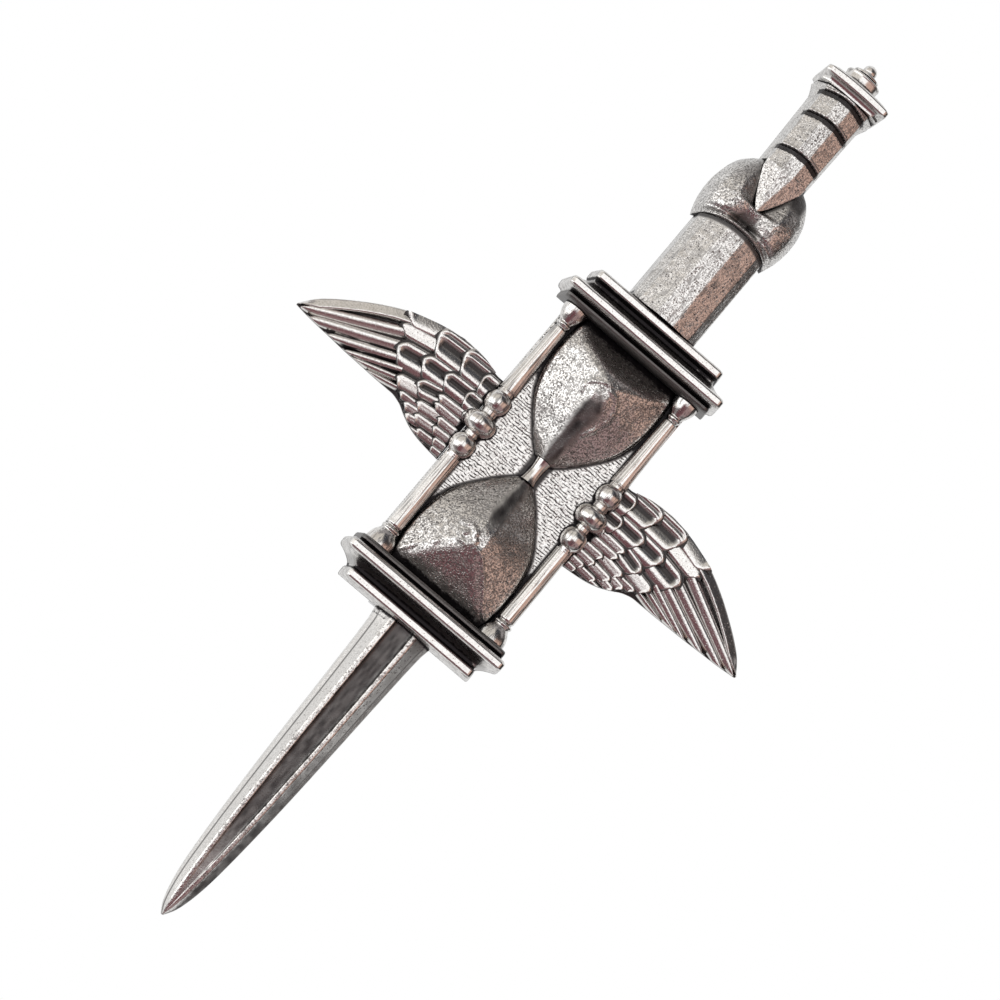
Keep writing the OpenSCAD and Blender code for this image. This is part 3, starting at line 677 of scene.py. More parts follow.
def fileLines():  # fine lines left along one direction
    group, given, result = nodeGroup(
        "fileLines", {"Vector": None, "Across": (1.0, 1.0, 1.0), "Lines per Metre": 4000.0}, ("Lines",))
    squeeze = addNode(group, "ShaderNodeVectorMath", {0: given["Vector"], 1: given["Across"]},
                      operation="MULTIPLY")
    feed(group, result["Lines"], noise(group, squeeze.outputs[0], given["Lines per Metre"], 1.0, 0.5))
    return group


def hatchMarks():  # short dashes in rows, as a graver leaves them
    group, given, result = nodeGroup("hatchMarks", {"Vector": None, "Rows per Metre": 3500.0}, ("Marks",))
    inputs = {"Distortion": 5.0, "Detail": 2.0, "Detail Scale": 1.2, "Vector": given["Vector"],
              "Scale": times(group, given["Rows per Metre"], 0.314)}
    wave = addNode(group, "ShaderNodeTexWave", inputs, bands_direction="Y")
    broken = mapped(group, noise(group, given["Vector"], 2600.0, 1.5), 0.36, 0.52)
    feed(group, result["Marks"], times(group, mapped(group, wave.outputs["Fac"], 0.5, 0.9), broken))
    return group


groups = {"hatch": hatchMarks(), "pits": castPits(), "oxideAndShade": oxideInRecess(), "wear": edgeWear(),
          "lines": fileLines()}


def placed(tree, effect, inputs):
    return addNode(tree, "ShaderNodeGroup", inputs, node_tree=groups[effect]).outputs


def surface(name):  # new material, with its tree, its shader and the place on the object
    material = bpy.data.materials.new(name)
    material.use_nodes = True
    tree = material.node_tree
    where = addNode(tree, "ShaderNodeTexCoord").outputs["Object"]
    return material, tree, tree.nodes["Principled BSDF"], where


def pewter(name, style):
    material, tree, shader, where = surface(name)

    def carried(key):
        return addNode(tree, "ShaderNodeAttribute", attribute_name=key).outputs["Fac"]

    amount = maths(tree, "ADD", style["pitAmount"], carried("pitted"))
    pits = placed(tree, "pits", {"Vector": where, "Pits per Metre": style["pitsPerMetre"], "Amount": amount})
    # the recess mask darkens closed-in places, as blackening in the hollows and as painted shade
    oxideAndShade = placed(tree, "oxideAndShade", {"Vector": where, "Recess": carried("recess"), "From": style["oxideAndShadeFrom"],
                                   "To": style["oxideAndShadeTo"]})["Mask"]
    wear = placed(tree, "wear", {"Vector": where, "Proud": carried("proud"), "Amount": style["wear"]})["Mask"]
    lines = placed(tree, "lines", {"Vector": where, "Across": style["lineScale"],
                                   "Lines per Metre": style["lines"]})["Lines"]
    spots = times(tree, times(tree, pits["Pits"], style["pitDark"]), maths(tree, "SUBTRACT", 1.0, wear))
    streak = mapped(tree, lines, style["lineFrom"], style["lineFrom"] + style["lineSoft"])
    dark = larger(tree, larger(tree, spots, times(tree, streak, style["lineDark"])), oxideAndShade)
    # painted marks darken by painted shade, painted shadows and painted dark reflections, besides the black
    # in grooves and hollows
    dark = larger(tree, dark, times(tree, carried("painted"), style["painted"]))
    tone = colourMix(tree, noise(tree, where, style["patchScale"], 2.0), style["metal"], style["metalWarm"])
    grain = mapped(tree, noise(tree, where, style["grainScale"], 1.0), 0.4, 0.58, style["grain"], 0.0)
    dark = larger(tree, dark, grain)
    if style["hatch"] > 0:
        marks = placed(tree, "hatch", {"Vector": where})["Marks"]
        dark = larger(tree, dark, times(tree, marks, style["hatch"]))
    # the dark colour serves blackening, pits and marks, and painted shade, shadows and dark reflections alike
    feed(tree, shader.inputs["Base Color"], colourMix(tree, dark, tone, style["oxideAndShadeColour"]))
    roughness = mapped(tree, dark, 0.0, 1.0, style["roughness"], style["oxideAndShadeRoughness"])
    feed(tree, shader.inputs["Roughness"], roughness)
    feed(tree, shader.inputs["Metallic"], 1.0)
    height = maths(tree, "ADD", times(tree, pits["Height"], style["pitHeight"]),
                   times(tree, lines, -style["lineBump"]))
    bump = {"Strength": style["bump"], "Distance": style["bumpDepth"], "Height": height}
    feed(tree, shader.inputs["Normal"], addNode(tree, "ShaderNodeBump", bump).outputs["Normal"])
    return material


pewterStyle = {  # scales and counts are per metre, and bumpDepth is in metres
    "metal": (0.84, 0.83, 0.81, 1), "metalWarm": (0.76, 0.73, 0.70, 1),
    "oxideAndShadeColour": (0.03, 0.028, 0.03, 1), "roughness": 0.2, "oxideAndShadeRoughness": 0.5, "pitsPerMetre": 5000.0,
    "pitAmount": 1.0, "pitDark": 0.85, "oxideAndShadeFrom": 0.3, "oxideAndShadeTo": 0.58, "wear": 0.7, "lines": 5200.0,
    "lineScale": (1.0, 0.12, 1.0), "lineDark": 0.0, "lineBump": 0.0, "lineFrom": 0.53,
    "lineSoft": 0.13, "bump": 0.5, "bumpDepth": 0.00006, "pitHeight": 0.6, "painted": 1.0, "grain": 0.12,
    "grainScale": 6000.0, "patchScale": 450.0, "hatch": 0.0}

finishChanges = {  # where each kind of surface differs from the style above
    "cast": {"pitAmount": 1.15, "grain": 0.6, "bump": 0.8},
    "blade": {"pitAmount": 0.5, "pitDark": 0.85, "grain": 0.16},
    "facet": {"pitAmount": 0.9, "grain": 0.5, "grainScale": 8000.0, "lineDark": 0.5, "lineBump": 0.5,
              "lineScale": (1.0, 0.16, 1.0)},
    "panel": {"hatch": 0.92, "pitAmount": 0.6, "grain": 0.25, "bump": 0.6, "oxideAndShadeFrom": 0.4, "oxideAndShadeTo": 0.66},
    "polished": {"pitAmount": 0.1, "pitDark": 0.5, "bump": 0.15, "roughness": 0.14},
    "column": {"pitAmount": 0.3, "pitDark": 0.5, "bump": 0.25, "lineDark": 0.55, "lineBump": 0.5,
               "lines": 7000.0, "lineScale": (1.0, 0.04, 1.0), "roughness": 0.16, "oxideAndShadeFrom": 0.36,
               "oxideAndShadeTo": 0.62},
    "moulding": {"pitAmount": 0.4, "pitDark": 0.6, "bump": 0.3, "oxideAndShadeFrom": 0.24, "oxideAndShadeTo": 0.5},
    "feather": {"pitAmount": 0.4, "pitDark": 0.6, "bump": 0.35, "oxideAndShadeFrom": 0.46, "oxideAndShadeTo": 0.78,
                "painted": 0.94}}
finishes = {key: pewter(key + "_pewter", {**pewterStyle, **changes})
            for key, changes in finishChanges.items()}

# the wings are a bed with a leading band, and feathers that geometry nodes lay over it
wingStyle = {  # lengths in millimetres, out from the panel and up from the wing's lowest place
    "bed": 0.5, "below": 0.022, "band": 1.15, "tilt": 4.0, "jitter": 0.02, "seeds": (5, 15),
    "scaleHeight": 0.62, "scaleLift": 0.6, "layerStep": 0.1, "quillHeight": 0.7, "quillLift": 0.28,
    "edges": [  # out, lower edge, upper edge, as shares
        [0, 0, 0.93], [0.06, 0.01, 0.95], [0.14, 0.03, 0.985], [0.2, 0.06, 0.995], [0.26, 0.11, 1],
        [0.32, 0.17, 0.985], [0.38, 0.195, 0.97], [0.46, 0.195, 0.93], [0.57, 0.2, 0.86],
        [0.68, 0.205, 0.755], [0.78, 0.215, 0.637], [0.89, 0.225, 0.487], [0.95, 0.235, 0.385],
        [1, 0.245, 0.26]],
    "quills": [  # root out, root up, tip out, tip up, width
        [8.9, 7.41, 18.3, 2.6, 1.4], [8.4, 6.1, 17.2, 2.2, 1.4], [8.0, 5.06, 15.1, 2.0, 1.35],
        [7.6, 4.25, 13.0, 1.95, 1.1], [7.2, 3.5, 11.9, 2.0, 0.9], [6.9, 2.78, 10.1, 2.05, 0.75]],
    "scales": [  # kind, tip out, tip up, length, degrees down towards the tip, width, layer from below
        ["band", 10.55, 8.3, 4.2, 17, 2.1, 0], ["plain", 10.25, 7.2, 4.0, 12, 1.7, 0],
        ["lobe", 9.35, 5.28, 3.6, 11, 2.9, 0], ["small", 7.6, 3.25, 3.0, 12, 1.8, 0],
        ["small", 6.5, 2.5, 2.4, 4, 0.95, 0], ["small", 5.6, 1.95, 2.6, 8, 1.15, 0],
        ["small", 4.9, 1.25, 2.4, 10, 1.1, 0], ["small", 4.0, 0.5, 2.0, 6, 0.95, 0],
        ["broad", 7.2, 8.45, 3.6, 4, 3.5, 1], ["lobe", 6.8, 5.95, 3.4, 5, 2.65, 1],
        ["lobe", 5.85, 4.0, 2.9, 14, 2.05, 1], ["small", 4.75, 2.72, 2.7, 9, 1.4, 1],
        ["small", 4.2, 1.75, 2.6, 6, 1.25, 1], ["small", 3.2, 0.9, 2.1, 4, 1.0, 1],
        ["broad", 4.2, 8.6, 3.2, 2, 3.2, 2], ["lobe", 4.4, 6.15, 3.0, 3, 2.35, 2],
        ["small", 3.6, 4.52, 3.0, 4, 1.2, 2], ["small", 3.5, 3.75, 3.0, 1, 1.15, 2],
        ["small", 2.4, 2.9, 2.2, 2, 1.15, 2], ["small", 2.2, 1.98, 2.0, 3, 1.15, 2],
        ["small", 1.5, 1.18, 1.4, 4, 1.05, 2], ["small", 1.2, 0.5, 1.1, 3, 0.85, 2],
        ["lobe", 1.65, 8.1, 1.7, 0, 2.6, 3], ["lobe", 1.85, 6.05, 1.8, 0, 2.2, 3],
        ["small", 1.0, 4.72, 1.1, 0, 1.1, 3]]}

featherStyle = {  # share of the length that the round tip takes, and across from the lower side: height, dark (painted shade at the edges, darkening in the hollows)
    "quill": (0.14, [[-1, 0.42, 1], [-0.9, 0.44, 1], [-0.82, 0.5, 0.8], [-0.72, 0.6, 0.1], [-0.5, 0.78, 0],
                     [-0.25, 0.92, 0], [0, 0.98, 0], [0.25, 1, 0], [0.45, 0.97, 0], [0.62, 0.85, 0],
                     [0.74, 0.68, 0.2], [0.82, 0.52, 0.8], [0.9, 0.44, 1], [1, 0.42, 1]]),
    "lobe": (0.32, [[-1, 0.66, 1], [-0.9, 0.66, 1], [-0.84, 0.7, 0.5], [-0.7, 0.86, 0], [-0.54, 0.97, 0],
                    [-0.36, 1, 0], [-0.2, 0.97, 0], [-0.06, 0.84, 0.3], [0.04, 0.72, 0.9], [0.16, 0.66, 1],
                    [0.3, 0.7, 1], [0.4, 0.84, 0.4], [0.5, 0.97, 0], [0.64, 1, 0], [0.77, 0.97, 0],
                    [0.85, 0.8, 0.4], [0.9, 0.66, 1], [1, 0.66, 1]]),
    "broad": (0.32, [[-1, 0.66, 1], [-0.92, 0.66, 1], [-0.86, 0.74, 0.4], [-0.76, 0.94, 0], [-0.66, 1, 0],
                     [-0.5, 0.98, 0], [-0.36, 0.9, 0.05], [-0.24, 0.8, 0.3], [-0.14, 0.72, 0.8],
                     [-0.06, 0.66, 1], [0.1, 0.66, 1], [0.18, 0.76, 0.4], [0.26, 0.95, 0], [0.34, 1, 0],
                     [0.43, 0.95, 0], [0.5, 0.82, 0.6], [0.56, 0.82, 0.5], [0.64, 0.94, 0], [0.72, 0.94, 0],
                     [0.86, 0.82, 0], [1, 0.68, 0]]),
    "band": (0.3, [[-1, 0.66, 1], [-0.92, 0.66, 1], [-0.84, 0.84, 0.2], [-0.72, 0.97, 0], [-0.55, 1, 0],
                   [-0.3, 0.98, 0], [0, 0.9, 0], [0.5, 0.74, 0], [0.85, 0.6, 0], [1, 0.5, 0]]),
    "plain": (0.26, [[-1, 0.66, 1], [-0.86, 0.68, 0.8], [-0.7, 0.9, 0], [-0.5, 1, 0], [-0.2, 0.97, 0],
                     [0.2, 0.95, 0], [0.6, 0.93, 0], [0.78, 0.84, 0.2], [0.9, 0.66, 1], [1, 0.62, 1]]),
    "small": (0.24, [[-1, 0.6, 1], [-0.86, 0.62, 1], [-0.74, 0.72, 0.6], [-0.5, 0.86, 0.25],
                     [-0.2, 0.92, 0.15], [0.1, 0.96, 0], [0.34, 1, 0], [0.6, 1, 0], [0.74, 0.93, 0],
                     [0.83, 0.76, 0.4], [0.9, 0.62, 1], [1, 0.6, 1]])}


def featherMesh(kind, style):  # one feather of unit size, root at 0 and tip at 1 along X
    share, table = style[kind]
    tipRows = 1 - share + share * np.sin(np.linspace(0, math.pi / 2, 12))
    s = np.concatenate([np.linspace(0, 1 - share, 6)[:-1], tipRows])
    v = np.array([r[0] for r in table], float)
    v = np.unique(np.concatenate([v, (v[1:] + v[:-1]) / 2]))
    along, across = np.meshgrid(s, v, indexing="ij")
    tip = np.clip((along - 1 + share) / share, 0, 1)
    height, dark = through(table, 1, across), through(table, 2, across)
    wide = 0.5 * np.sqrt(np.clip(1 - tip**2, 0.0009, 1))
    if kind == "quill":
        wide = wide * np.interp(along, [0, 0.5, 0.75, 0.9, 1], [1, 1, 0.96, 0.84, 0.6])
    else:  # bright towards the tip, with a dark lower step all round it
        inward = np.where((across > 0) & (kind in ("broad", "band")), across * 0.6, across)
        ring = np.sqrt(tip**2 + inward**2 * (1 - tip**2)) * (tip > 0)
        nose, end = step(0.3, 0.58, tip) * (np.abs(across) < 0.84), step(0.79, 0.87, ring)
        height = height + (0.97 - height) * nose * 0.85
        dark = dark * (1 - 0.8 * nose)
        # the lower step round the tip is painted dark, as painted shade in the gap under the feather's edge
        height, dark = height + (0.66 - height) * end, np.maximum(dark, end)
    swept = 0 if kind == "quill" else 0.11 * np.clip(across, -1, 0.6) * tip  # the lower side is further back
    top = np.stack([along + swept, across * wide, height], -1).reshape(-1, 3)
    quads, rim = reliefFaces(*along.shape)
    ids = list(range(len(top), len(top) + len(rim)))
    quads += [[rim[a - 1], rim[a], ids[a], ids[a - 1]] for a in range(len(ids))]
    mesh = bpy.data.meshes.new(kind + "_feather")
    mesh.from_pydata(np.concatenate([top, top[rim] * (1, 1, 0)]).tolist(), [], quads + [ids])
    # the feather's side walls are painted dark, as painted shade in the gaps between feathers
    setMarks(mesh, "painted", np.concatenate([np.clip(dark, 0, 1).ravel(), np.full(len(ids), 0.8)]))
    feather = bpy.data.objects.new(kind + "_feather", mesh)
    scene.collection.objects.link(feather)
    return feather


def featherTree():  # lays one feather on each point, by the turn and size that the point carries
    tree = bpy.data.node_groups.new("layFeathers", "GeometryNodeTree")
    for label, kind in (("Geometry", "Geometry"), ("Feather", "Object"), ("Finish", "Material")):
        tree.interface.new_socket(label, in_out="INPUT", socket_type="NodeSocket" + kind)
    for label, kind, value in (("Unevenness", "Float", 0.0), ("Seed", "Int", 5)):
        feed(tree, tree.interface.new_socket(label, in_out="INPUT", socket_type="NodeSocket" + kind), value)
    tree.interface.new_socket("Geometry", in_out="OUTPUT", socket_type="NodeSocketGeometry")
    given = addNode(tree, "NodeGroupInput").outputs
    feather = addNode(tree, "GeometryNodeObjectInfo", {"Object": given["Feather"]}).outputs["Geometry"]
    turn, size = [addNode(tree, "GeometryNodeInputNamedAttribute", {"Name": key}, data_type="FLOAT_VECTOR")
                  .outputs["Attribute"] for key in ("turn", "size")]
    rough = addNode(tree, "FunctionNodeRandomValue", {"Seed": given["Seed"]}, data_type="FLOAT")
    least, most = [socket for socket in rough.inputs if socket.type == "VALUE" and socket.enabled][:2]
    feed(tree, least, maths(tree, "SUBTRACT", 1.0, given["Unevenness"]))
    feed(tree, most, maths(tree, "ADD", 1.0, given["Unevenness"]))
    share = [socket for socket in rough.outputs if socket.type == "VALUE" and socket.enabled][0]
    size = addNode(tree, "ShaderNodeVectorMath", {0: size, "Scale": share}, operation="SCALE").outputs[0]
    turn = addNode(tree, "FunctionNodeEulerToRotation", {0: turn}).outputs[0]
    laid = addNode(tree, "GeometryNodeInstanceOnPoints", {
        "Points": given["Geometry"], "Instance": feather, "Rotation": turn, "Scale": size})
    real = addNode(tree, "GeometryNodeRealizeInstances", {"Geometry": laid.outputs["Instances"]})
    dressed = addNode(tree, "GeometryNodeSetMaterial", {
        "Geometry": real.outputs["Geometry"], "Material": given["Finish"]})
    addNode(tree, "NodeGroupOutput", {"Geometry": dressed.outputs["Geometry"]})
    return tree


def layFeathers(tree, rows, values):  # rows hold the place, turn and size of each feather
    mesh = bpy.data.meshes.new("feather_places")
    mesh.from_pydata([row[0] for row in rows], [], [])
    for key, column in (("turn", 1), ("size", 2)):
        numbers = np.array([row[column] for row in rows], np.float32).ravel()
        mesh.attributes.new(key, "FLOAT_VECTOR", "POINT").data.foreach_set("vector", numbers)
    places = bpy.data.objects.new("feather_places", mesh)
    scene.collection.objects.link(places)
    modifier = places.modifiers.new("lay", "NODES")
    modifier.node_group = tree
    ids = {item.name: item.identifier for item in tree.interface.items_tree if item.in_out == "INPUT"}
    for key, value in values.items():
        modifier[ids[key]] = value
    places.update_tag()
    bpy.context.view_layer.update()
    result = bpy.data.meshes.new_from_object(places.evaluated_get(bpy.context.evaluated_depsgraph_get()))
    bpy.data.objects.remove(places)
    return result


def wingRows(style, low):  # place, turn and size of each feather by its kind, in metres
    rows = {}

    def put(kind, tipOut, tipUp, length, fall, z, wide, tall, tilt):
        a = math.radians(fall)
        root = (low[0] + tipOut - length * math.cos(a), low[1] + tipUp + length * math.sin(a), z)
        rows.setdefault(kind, []).append(([v * mm for v in root], (0, -math.radians(tilt), -a),
                                          (length * mm, wide * mm, tall * mm)))

    for rootOut, rootUp, tipOut, tipUp, wide in style["quills"]:
        length = math.hypot(tipOut - rootOut, rootUp - tipUp)
        fall = math.degrees(math.atan2(rootUp - tipUp, tipOut - rootOut))
        put("quill", tipOut, tipUp, length, fall, backZ + style["quillLift"], wide,
            style["quillHeight"], 0)
    for kind, tipOut, tipUp, length, fall, wide, layer in style["scales"]:
        z = backZ + style["scaleLift"] + style["layerStep"] * layer
        z -= length * math.tan(math.radians(style["tilt"]))
        put(kind, tipOut, tipUp, length, fall, z, wide, style["scaleHeight"], style["tilt"])
    return rows


def meshParts(mesh):  # corners in millimetres, faces and how dark each corner is
    values = np.zeros(len(mesh.vertices), np.float32)
    if "painted" in mesh.attributes:
        mesh.attributes["painted"].data.foreach_get("value", values)
    return corners(mesh), [list(face.vertices) for face in mesh.polygons], values


def makeWing(node, style, tree, feathers, finish, mirror):
    low, high = nodeBox(node)
    if mirror:
        low[0], high[0] = -high[0], -low[0]
    reach = high[0] - low[0]
    foot = high[1] - (high[1] - low[1]) / (1.0 + style["below"])
    tall = high[1] - foot
    out, across = np.meshgrid(np.linspace(0, 1, 100), np.linspace(0, 1, 64), indexing="ij")
    lower, upper = through(style["edges"], 1, out), through(style["edges"], 2, out)
    gap = (upper - lower) * tall
    x, y = low[0] + out * reach, foot + (lower + (upper - lower) * across) * tall
    share = (1 - across) * gap / np.minimum(style["band"], 0.5 * gap)  # 0 at the edge, 1 below the band
    band = np.interp(share, [0, 0.12, 0.3, 0.7, 0.9, 1.02, 1.15],
                     [0.7, 0.78, 0.84, 1.0, 1.04, 0.95, style["bed"]])
    outer = step(0.42, 0.5, out)
    z = backZ + style["bed"] * (0.8 + 0.2 * step(0, 0.3, across * gap)) + (band - style["bed"]) * outer
    z = z + 0.015 * unevenness(x, y, 0.6, 61)
    bed = relief(node + "_bed", np.stack([x, y, z], -1), backZ, 60, 2)
    points, faces, values = meshParts(bed.data)
    # the low bed between and under the feathers is painted dark, as painted shade in the gaps
    parts = [(points, faces, step(backZ + 0.68, backZ + 0.55, points[:, 2]) * (points[:, 2] > backZ + 0.3))]
    bpy.data.objects.remove(bed)
    given = {"Finish": finish, "Unevenness": style["jitter"], "Seed": style["seeds"][mirror]}
    for kind, rows in wingRows(style, low).items():  # the same feathers on both sides, each a little uneven
        laid = layFeathers(tree, rows, {"Feather": feathers[kind], **given})
        parts.append(meshParts(laid))
        bpy.data.meshes.remove(laid)
    points, faces, values, count = [], [], [], 0
    for some, around, dark in parts:
        points.append(some)
        values.append(dark)
        faces += [[i + count for i in face] for face in around]
        count += len(some)
    points = np.concatenate(points)
    share = np.clip((points[:, 0] - low[0]) / reach, 0, 1)  # nothing passes the wing's outline
    lower, upper = [foot + through(style["edges"], column, share) * tall for column in (1, 2)]
    points[:, 1] = np.clip(points[:, 1], lower, upper)
    points = np.clip(points, [low[0], low[1], backZ], [high[0], high[1], high[2]])
    if mirror:
        points[:, 0] *= -1
        faces = [face[::-1] for face in faces]
    mesh = bpy.data.meshes.new(node + "_dressed")
    mesh.from_pydata((points * mm).tolist(), [], faces)
    setMarks(mesh, "painted", np.concatenate(values))
    return finishMesh(mesh.name, mesh, 60)


feathers = {kind: featherMesh(kind, featherStyle) for kind in featherStyle}
layTree = featherTree()
for node, mirror in (("wing_right", False), ("wing_left", True)):
    made[node] = makeWing(node, wingStyle, layTree, feathers, finishes["feather"], mirror)
for feather in feathers.values():
    bpy.data.objects.remove(feather)
print("wings made")


recessStyle = {  # lengths in millimetres, and lifts of the sight lines in degrees
    "cell": 0.1, "steps": [0.12, 0.22, 0.36, 0.55, 0.8, 1.15, 1.6, 2.3], "turns": 12,
    "lifts": [12, 32, 55, 78], "pastRim": 0.1, "slack": 0.03, "rimBlur": 0.3, "proudFull": 0.2,
    "wall": 0.34, "backEdge": 0.5, "backReach": 0.9}


def heightMap(pieces, cell):  # height of the front over a grid, -1 outside it
    points = np.concatenate([corners(p.data) for p in pieces])
    low = points.min(0)[:2] - 3
    size = ((points.max(0)[:2] + 3 - low) / cell).astype(int) + 1
    grid = np.full(size, -1.0)
    ij = ((points[:, :2] - low) / cell).astype(int)
    np.maximum.at(grid, (ij[:, 0], ij[:, 1]), points[:, 2])
    for _ in range(3):  # cells that no corner falls in take their neighbours' height
        best = grid.copy()
        for dx in (-1, 0, 1):
            for dy in (-1, 0, 1):
                best = np.maximum(best, np.roll(grid, (dx, dy), (0, 1)))
        grid = np.where(grid < 0, best, grid)
    inside = grid >= 0
    for _ in range(3):  # and past the outline they give it back
        inside = np.all([np.roll(inside, (dx, dy), (0, 1)) for dx in (-1, 0, 1) for dy in (-1, 0, 1)], axis=0)
    return np.where(inside, grid, -1), low


def blurred(grid, cells):
    fx, fy = np.fft.fftfreq(grid.shape[0])[:, None], np.fft.rfftfreq(grid.shape[1])[None, :]
    return np.fft.irfft2(np.fft.rfft2(grid) * np.exp(-2 * (math.pi * cells)**2 * (fx**2 + fy**2)), grid.shape)


def markRecess(pieces, style):  # how closed in each place is, which the finish darkens as blackening and painted shade, and how proud
    grid, low = heightMap(pieces, style["cell"])
    grid = np.where(grid < 0, 0, grid)
    soft = blurred(grid, style["rimBlur"] / style["cell"])
    last = np.array(grid.shape) - 1
    for piece in pieces:
        p = corners(piece.data)
        n = np.empty(len(p) * 3, np.float32)
        piece.data.vertex_normals.foreach_get("vector", n)
        n = n.reshape(-1, 3).astype(float)
        clear, total = np.zeros(len(p)), np.full(len(p), 1e-6)
        start = style["pastRim"] * (np.abs(n[:, 2:]) < 0.5)  # a wall looks past its own rim
        for k in range(style["turns"]):
            a = 2 * math.pi * (k + 0.5) / style["turns"]
            way = np.array([math.cos(a), math.sin(a)])
            rise = np.full(len(p), -9.0)
            for reach in style["steps"]:
                at = np.clip(((p[:, :2] + way * (reach + start) - low) / style["cell"]).astype(int), 0, last)
                over = grid[at[:, 0], at[:, 1]] - p[:, 2] - style["slack"]
                rise = np.maximum(rise, over / reach)
            for lift in style["lifts"]:
                e = math.radians(lift)
                toSky = np.array([way[0] * math.cos(e), way[1] * math.cos(e), math.sin(e)])
                weight = np.clip(n @ toSky, 0, None) * math.cos(e)
                clear += weight * (rise < math.tan(e))
                total += weight
        shut = np.where(total > 0.2, 1 - clear / total, 0.25)
        shut = np.maximum(shut, style["wall"] * (start[:, 0] > 0))  # steep walls are darkened at least this much
        # darker towards the back edge of each piece
        shut = np.maximum(shut, style["backEdge"] * step(style["backReach"], 0, p[:, 2] - p[:, 2].min()))
        at = np.clip(((p[:, :2] - low) / style["cell"]).astype(int), 0, last)
        proud = np.clip((p[:, 2] - soft[at[:, 0], at[:, 1]]) / style["proudFull"], 0, 1) * (n[:, 2] > 0.2)
        setMarks(piece.data, "recess", shut)
        setMarks(piece.data, "proud", proud)


darkness = {  # how strong each painted darkening is, from 0 to 1; most are painted shade, painted shadows and painted dark reflections
    "fuller": 0.86, "bevel": 0.75, "rightFace": 0.52, "rightFaceLow": 0.36, "stripe": 0.86, "panel": 0.92,
    "capStep": 0.8, "capGroove": 0.5, "underFold": 0.78, "besidePoint": 0.85, "grip": 0.9, "grooves": 0.95}


def paint(piece, key, value):  # value(x, y, z) from 0 to 1 says how strong that mark is there
    setMarks(piece.data, key, np.clip(value(*corners(piece.data).T), 0, 1))


def bladeShape(y):  # distance from the tip, and half widths of the fuller and the blade there
    low, high = nodeBox("blade")
    along = (y - low[1]) / (high[1] - low[1])
    fuller = through(bladeStyle["sections"], 3, along) * bladeStyle["fullerHalf"]
    return y - low[1], fuller, through(bladeStyle["sections"], 1, along) * high[0]


def fullerPaint(x, y, z):  # painted dark reflection in the ragged fuller, a thin dark line along the bevel and painted shade on the right face
    up, fuller, wide = bladeShape(y)
    fuller = fuller + 0.09 * unevenness(x, y, 0.4, 91) + 0.07 * unevenness(x, y, 0.2, 93)
    rim = np.minimum(bladeStyle["rimWidth"], wide * bladeStyle["rimShare"])
    line = np.abs(np.abs(x) - wide + rim + 0.02)
    dark = darkness["fuller"] - 0.4 * step(12, 4, up) + 0.08 * unevenness(x * 3, y, 0.7, 94)
    dark = dark * step(0.08, -0.1, np.abs(x) - fuller + 0.02) * step(0, 2, up - 1.2)
    dark = np.maximum(dark, darkness["bevel"] * step(0.09, 0.03, line))
    # the right face is darkened as painted shade
    dull = darkness["rightFace"] + darkness["rightFaceLow"] * step(24, 9, up)
    dull = dull * step(0.25, 0.6, x - fuller)
    dull = dull * (0.92 + 0.16 * unevenness(x, y, 0.5, 92))
    return np.maximum(dark, dull) * (z > backZ + 0.5)


def fullerPits(x, y, z):  # more pits beside the fuller and on the right face
    d = np.abs(x) - bladeShape(y)[1]
    beside, right = step(0, 0.1, d) * step(0.6, 0.35, d), 0.75 * (x > 0) * step(0.05, 0.15, d)
    return np.maximum(beside, right) * (z > backZ + 0.5)


def stripePaint(lowEnd, highEnd, start, end):  # painted dark reflection as a stripe down a bulb between two distances from the neck
    neckY = (nodeBox("neck")[0][1] + nodeBox("neck")[1][1]) / 2
    places = [start, start + 1.5, end - 1.2, end]

    def value(x, y, z):
        d = np.abs(y - neckY)
        half = np.interp(d, places, [lowEnd, highEnd * 0.8, highEnd, highEnd * 0.6])
        ragged = half + 0.2 * unevenness(x, y, 1.1, 95) + 0.08 * unevenness(x, y, 0.3, 97)
        dark = darkness["stripe"] * step(0.36, -0.6, np.abs(x - 0.05) - ragged)
        dark = dark * (0.94 + 0.2 * unevenness(x, y, 0.7, 98))
        return dark * step(end + 0.4, end - 0.8, d + 0.5 * unevenness(x, y, 0.5, 99))

    return value


def panelPaint(x, y, z):  # painted shadow along the glass, the neck and the columns
    dark = 0 * x
    for node, ends in (("lower_bulb", -1), ("upper_bulb", 1)):
        low, high = nodeBox(node)
        share = (high[1] - y if ends < 0 else y - low[1]) / (high[1] - low[1])
        wide = through(glassStyle["widths"], 1, np.clip(share, 0, 1)) * high[0]
        dark = np.maximum(dark, step(0.42, 0.16, np.abs(x) - wide) * (share > -0.02) * (share < 1))
    low, high = nodeBox("neck")
    dark = np.maximum(dark, step(0.6, 0.25, np.abs(x) - high[0]) * (y > low[1] - 0.1) * (y < high[1] + 0.1))
    shaft = nodeBox("column_right")[0][0] + panelStyle["toShaft"]
    beside = step(0.3, 0.08, shaft - np.abs(x)) * (np.abs(x) < shaft + 0.8)
    return darkness["panel"] * np.maximum(dark, beside)


def recessPaint(node, outer):  # painted shade in the narrow step of a cap, next to the hourglass, and in its groove
    low, high = nodeBox(node)

    def value(x, y, z):
        share = (y - low[1] if outer < 0 else high[1] - y) / (high[1] - low[1])
        groove = darkness["capGroove"] * step(0.26, 0.32, share) * step(0.5, 0.44, share)
        return darkness["capStep"] * step(0.81, 0.86, share) + groove

    return value


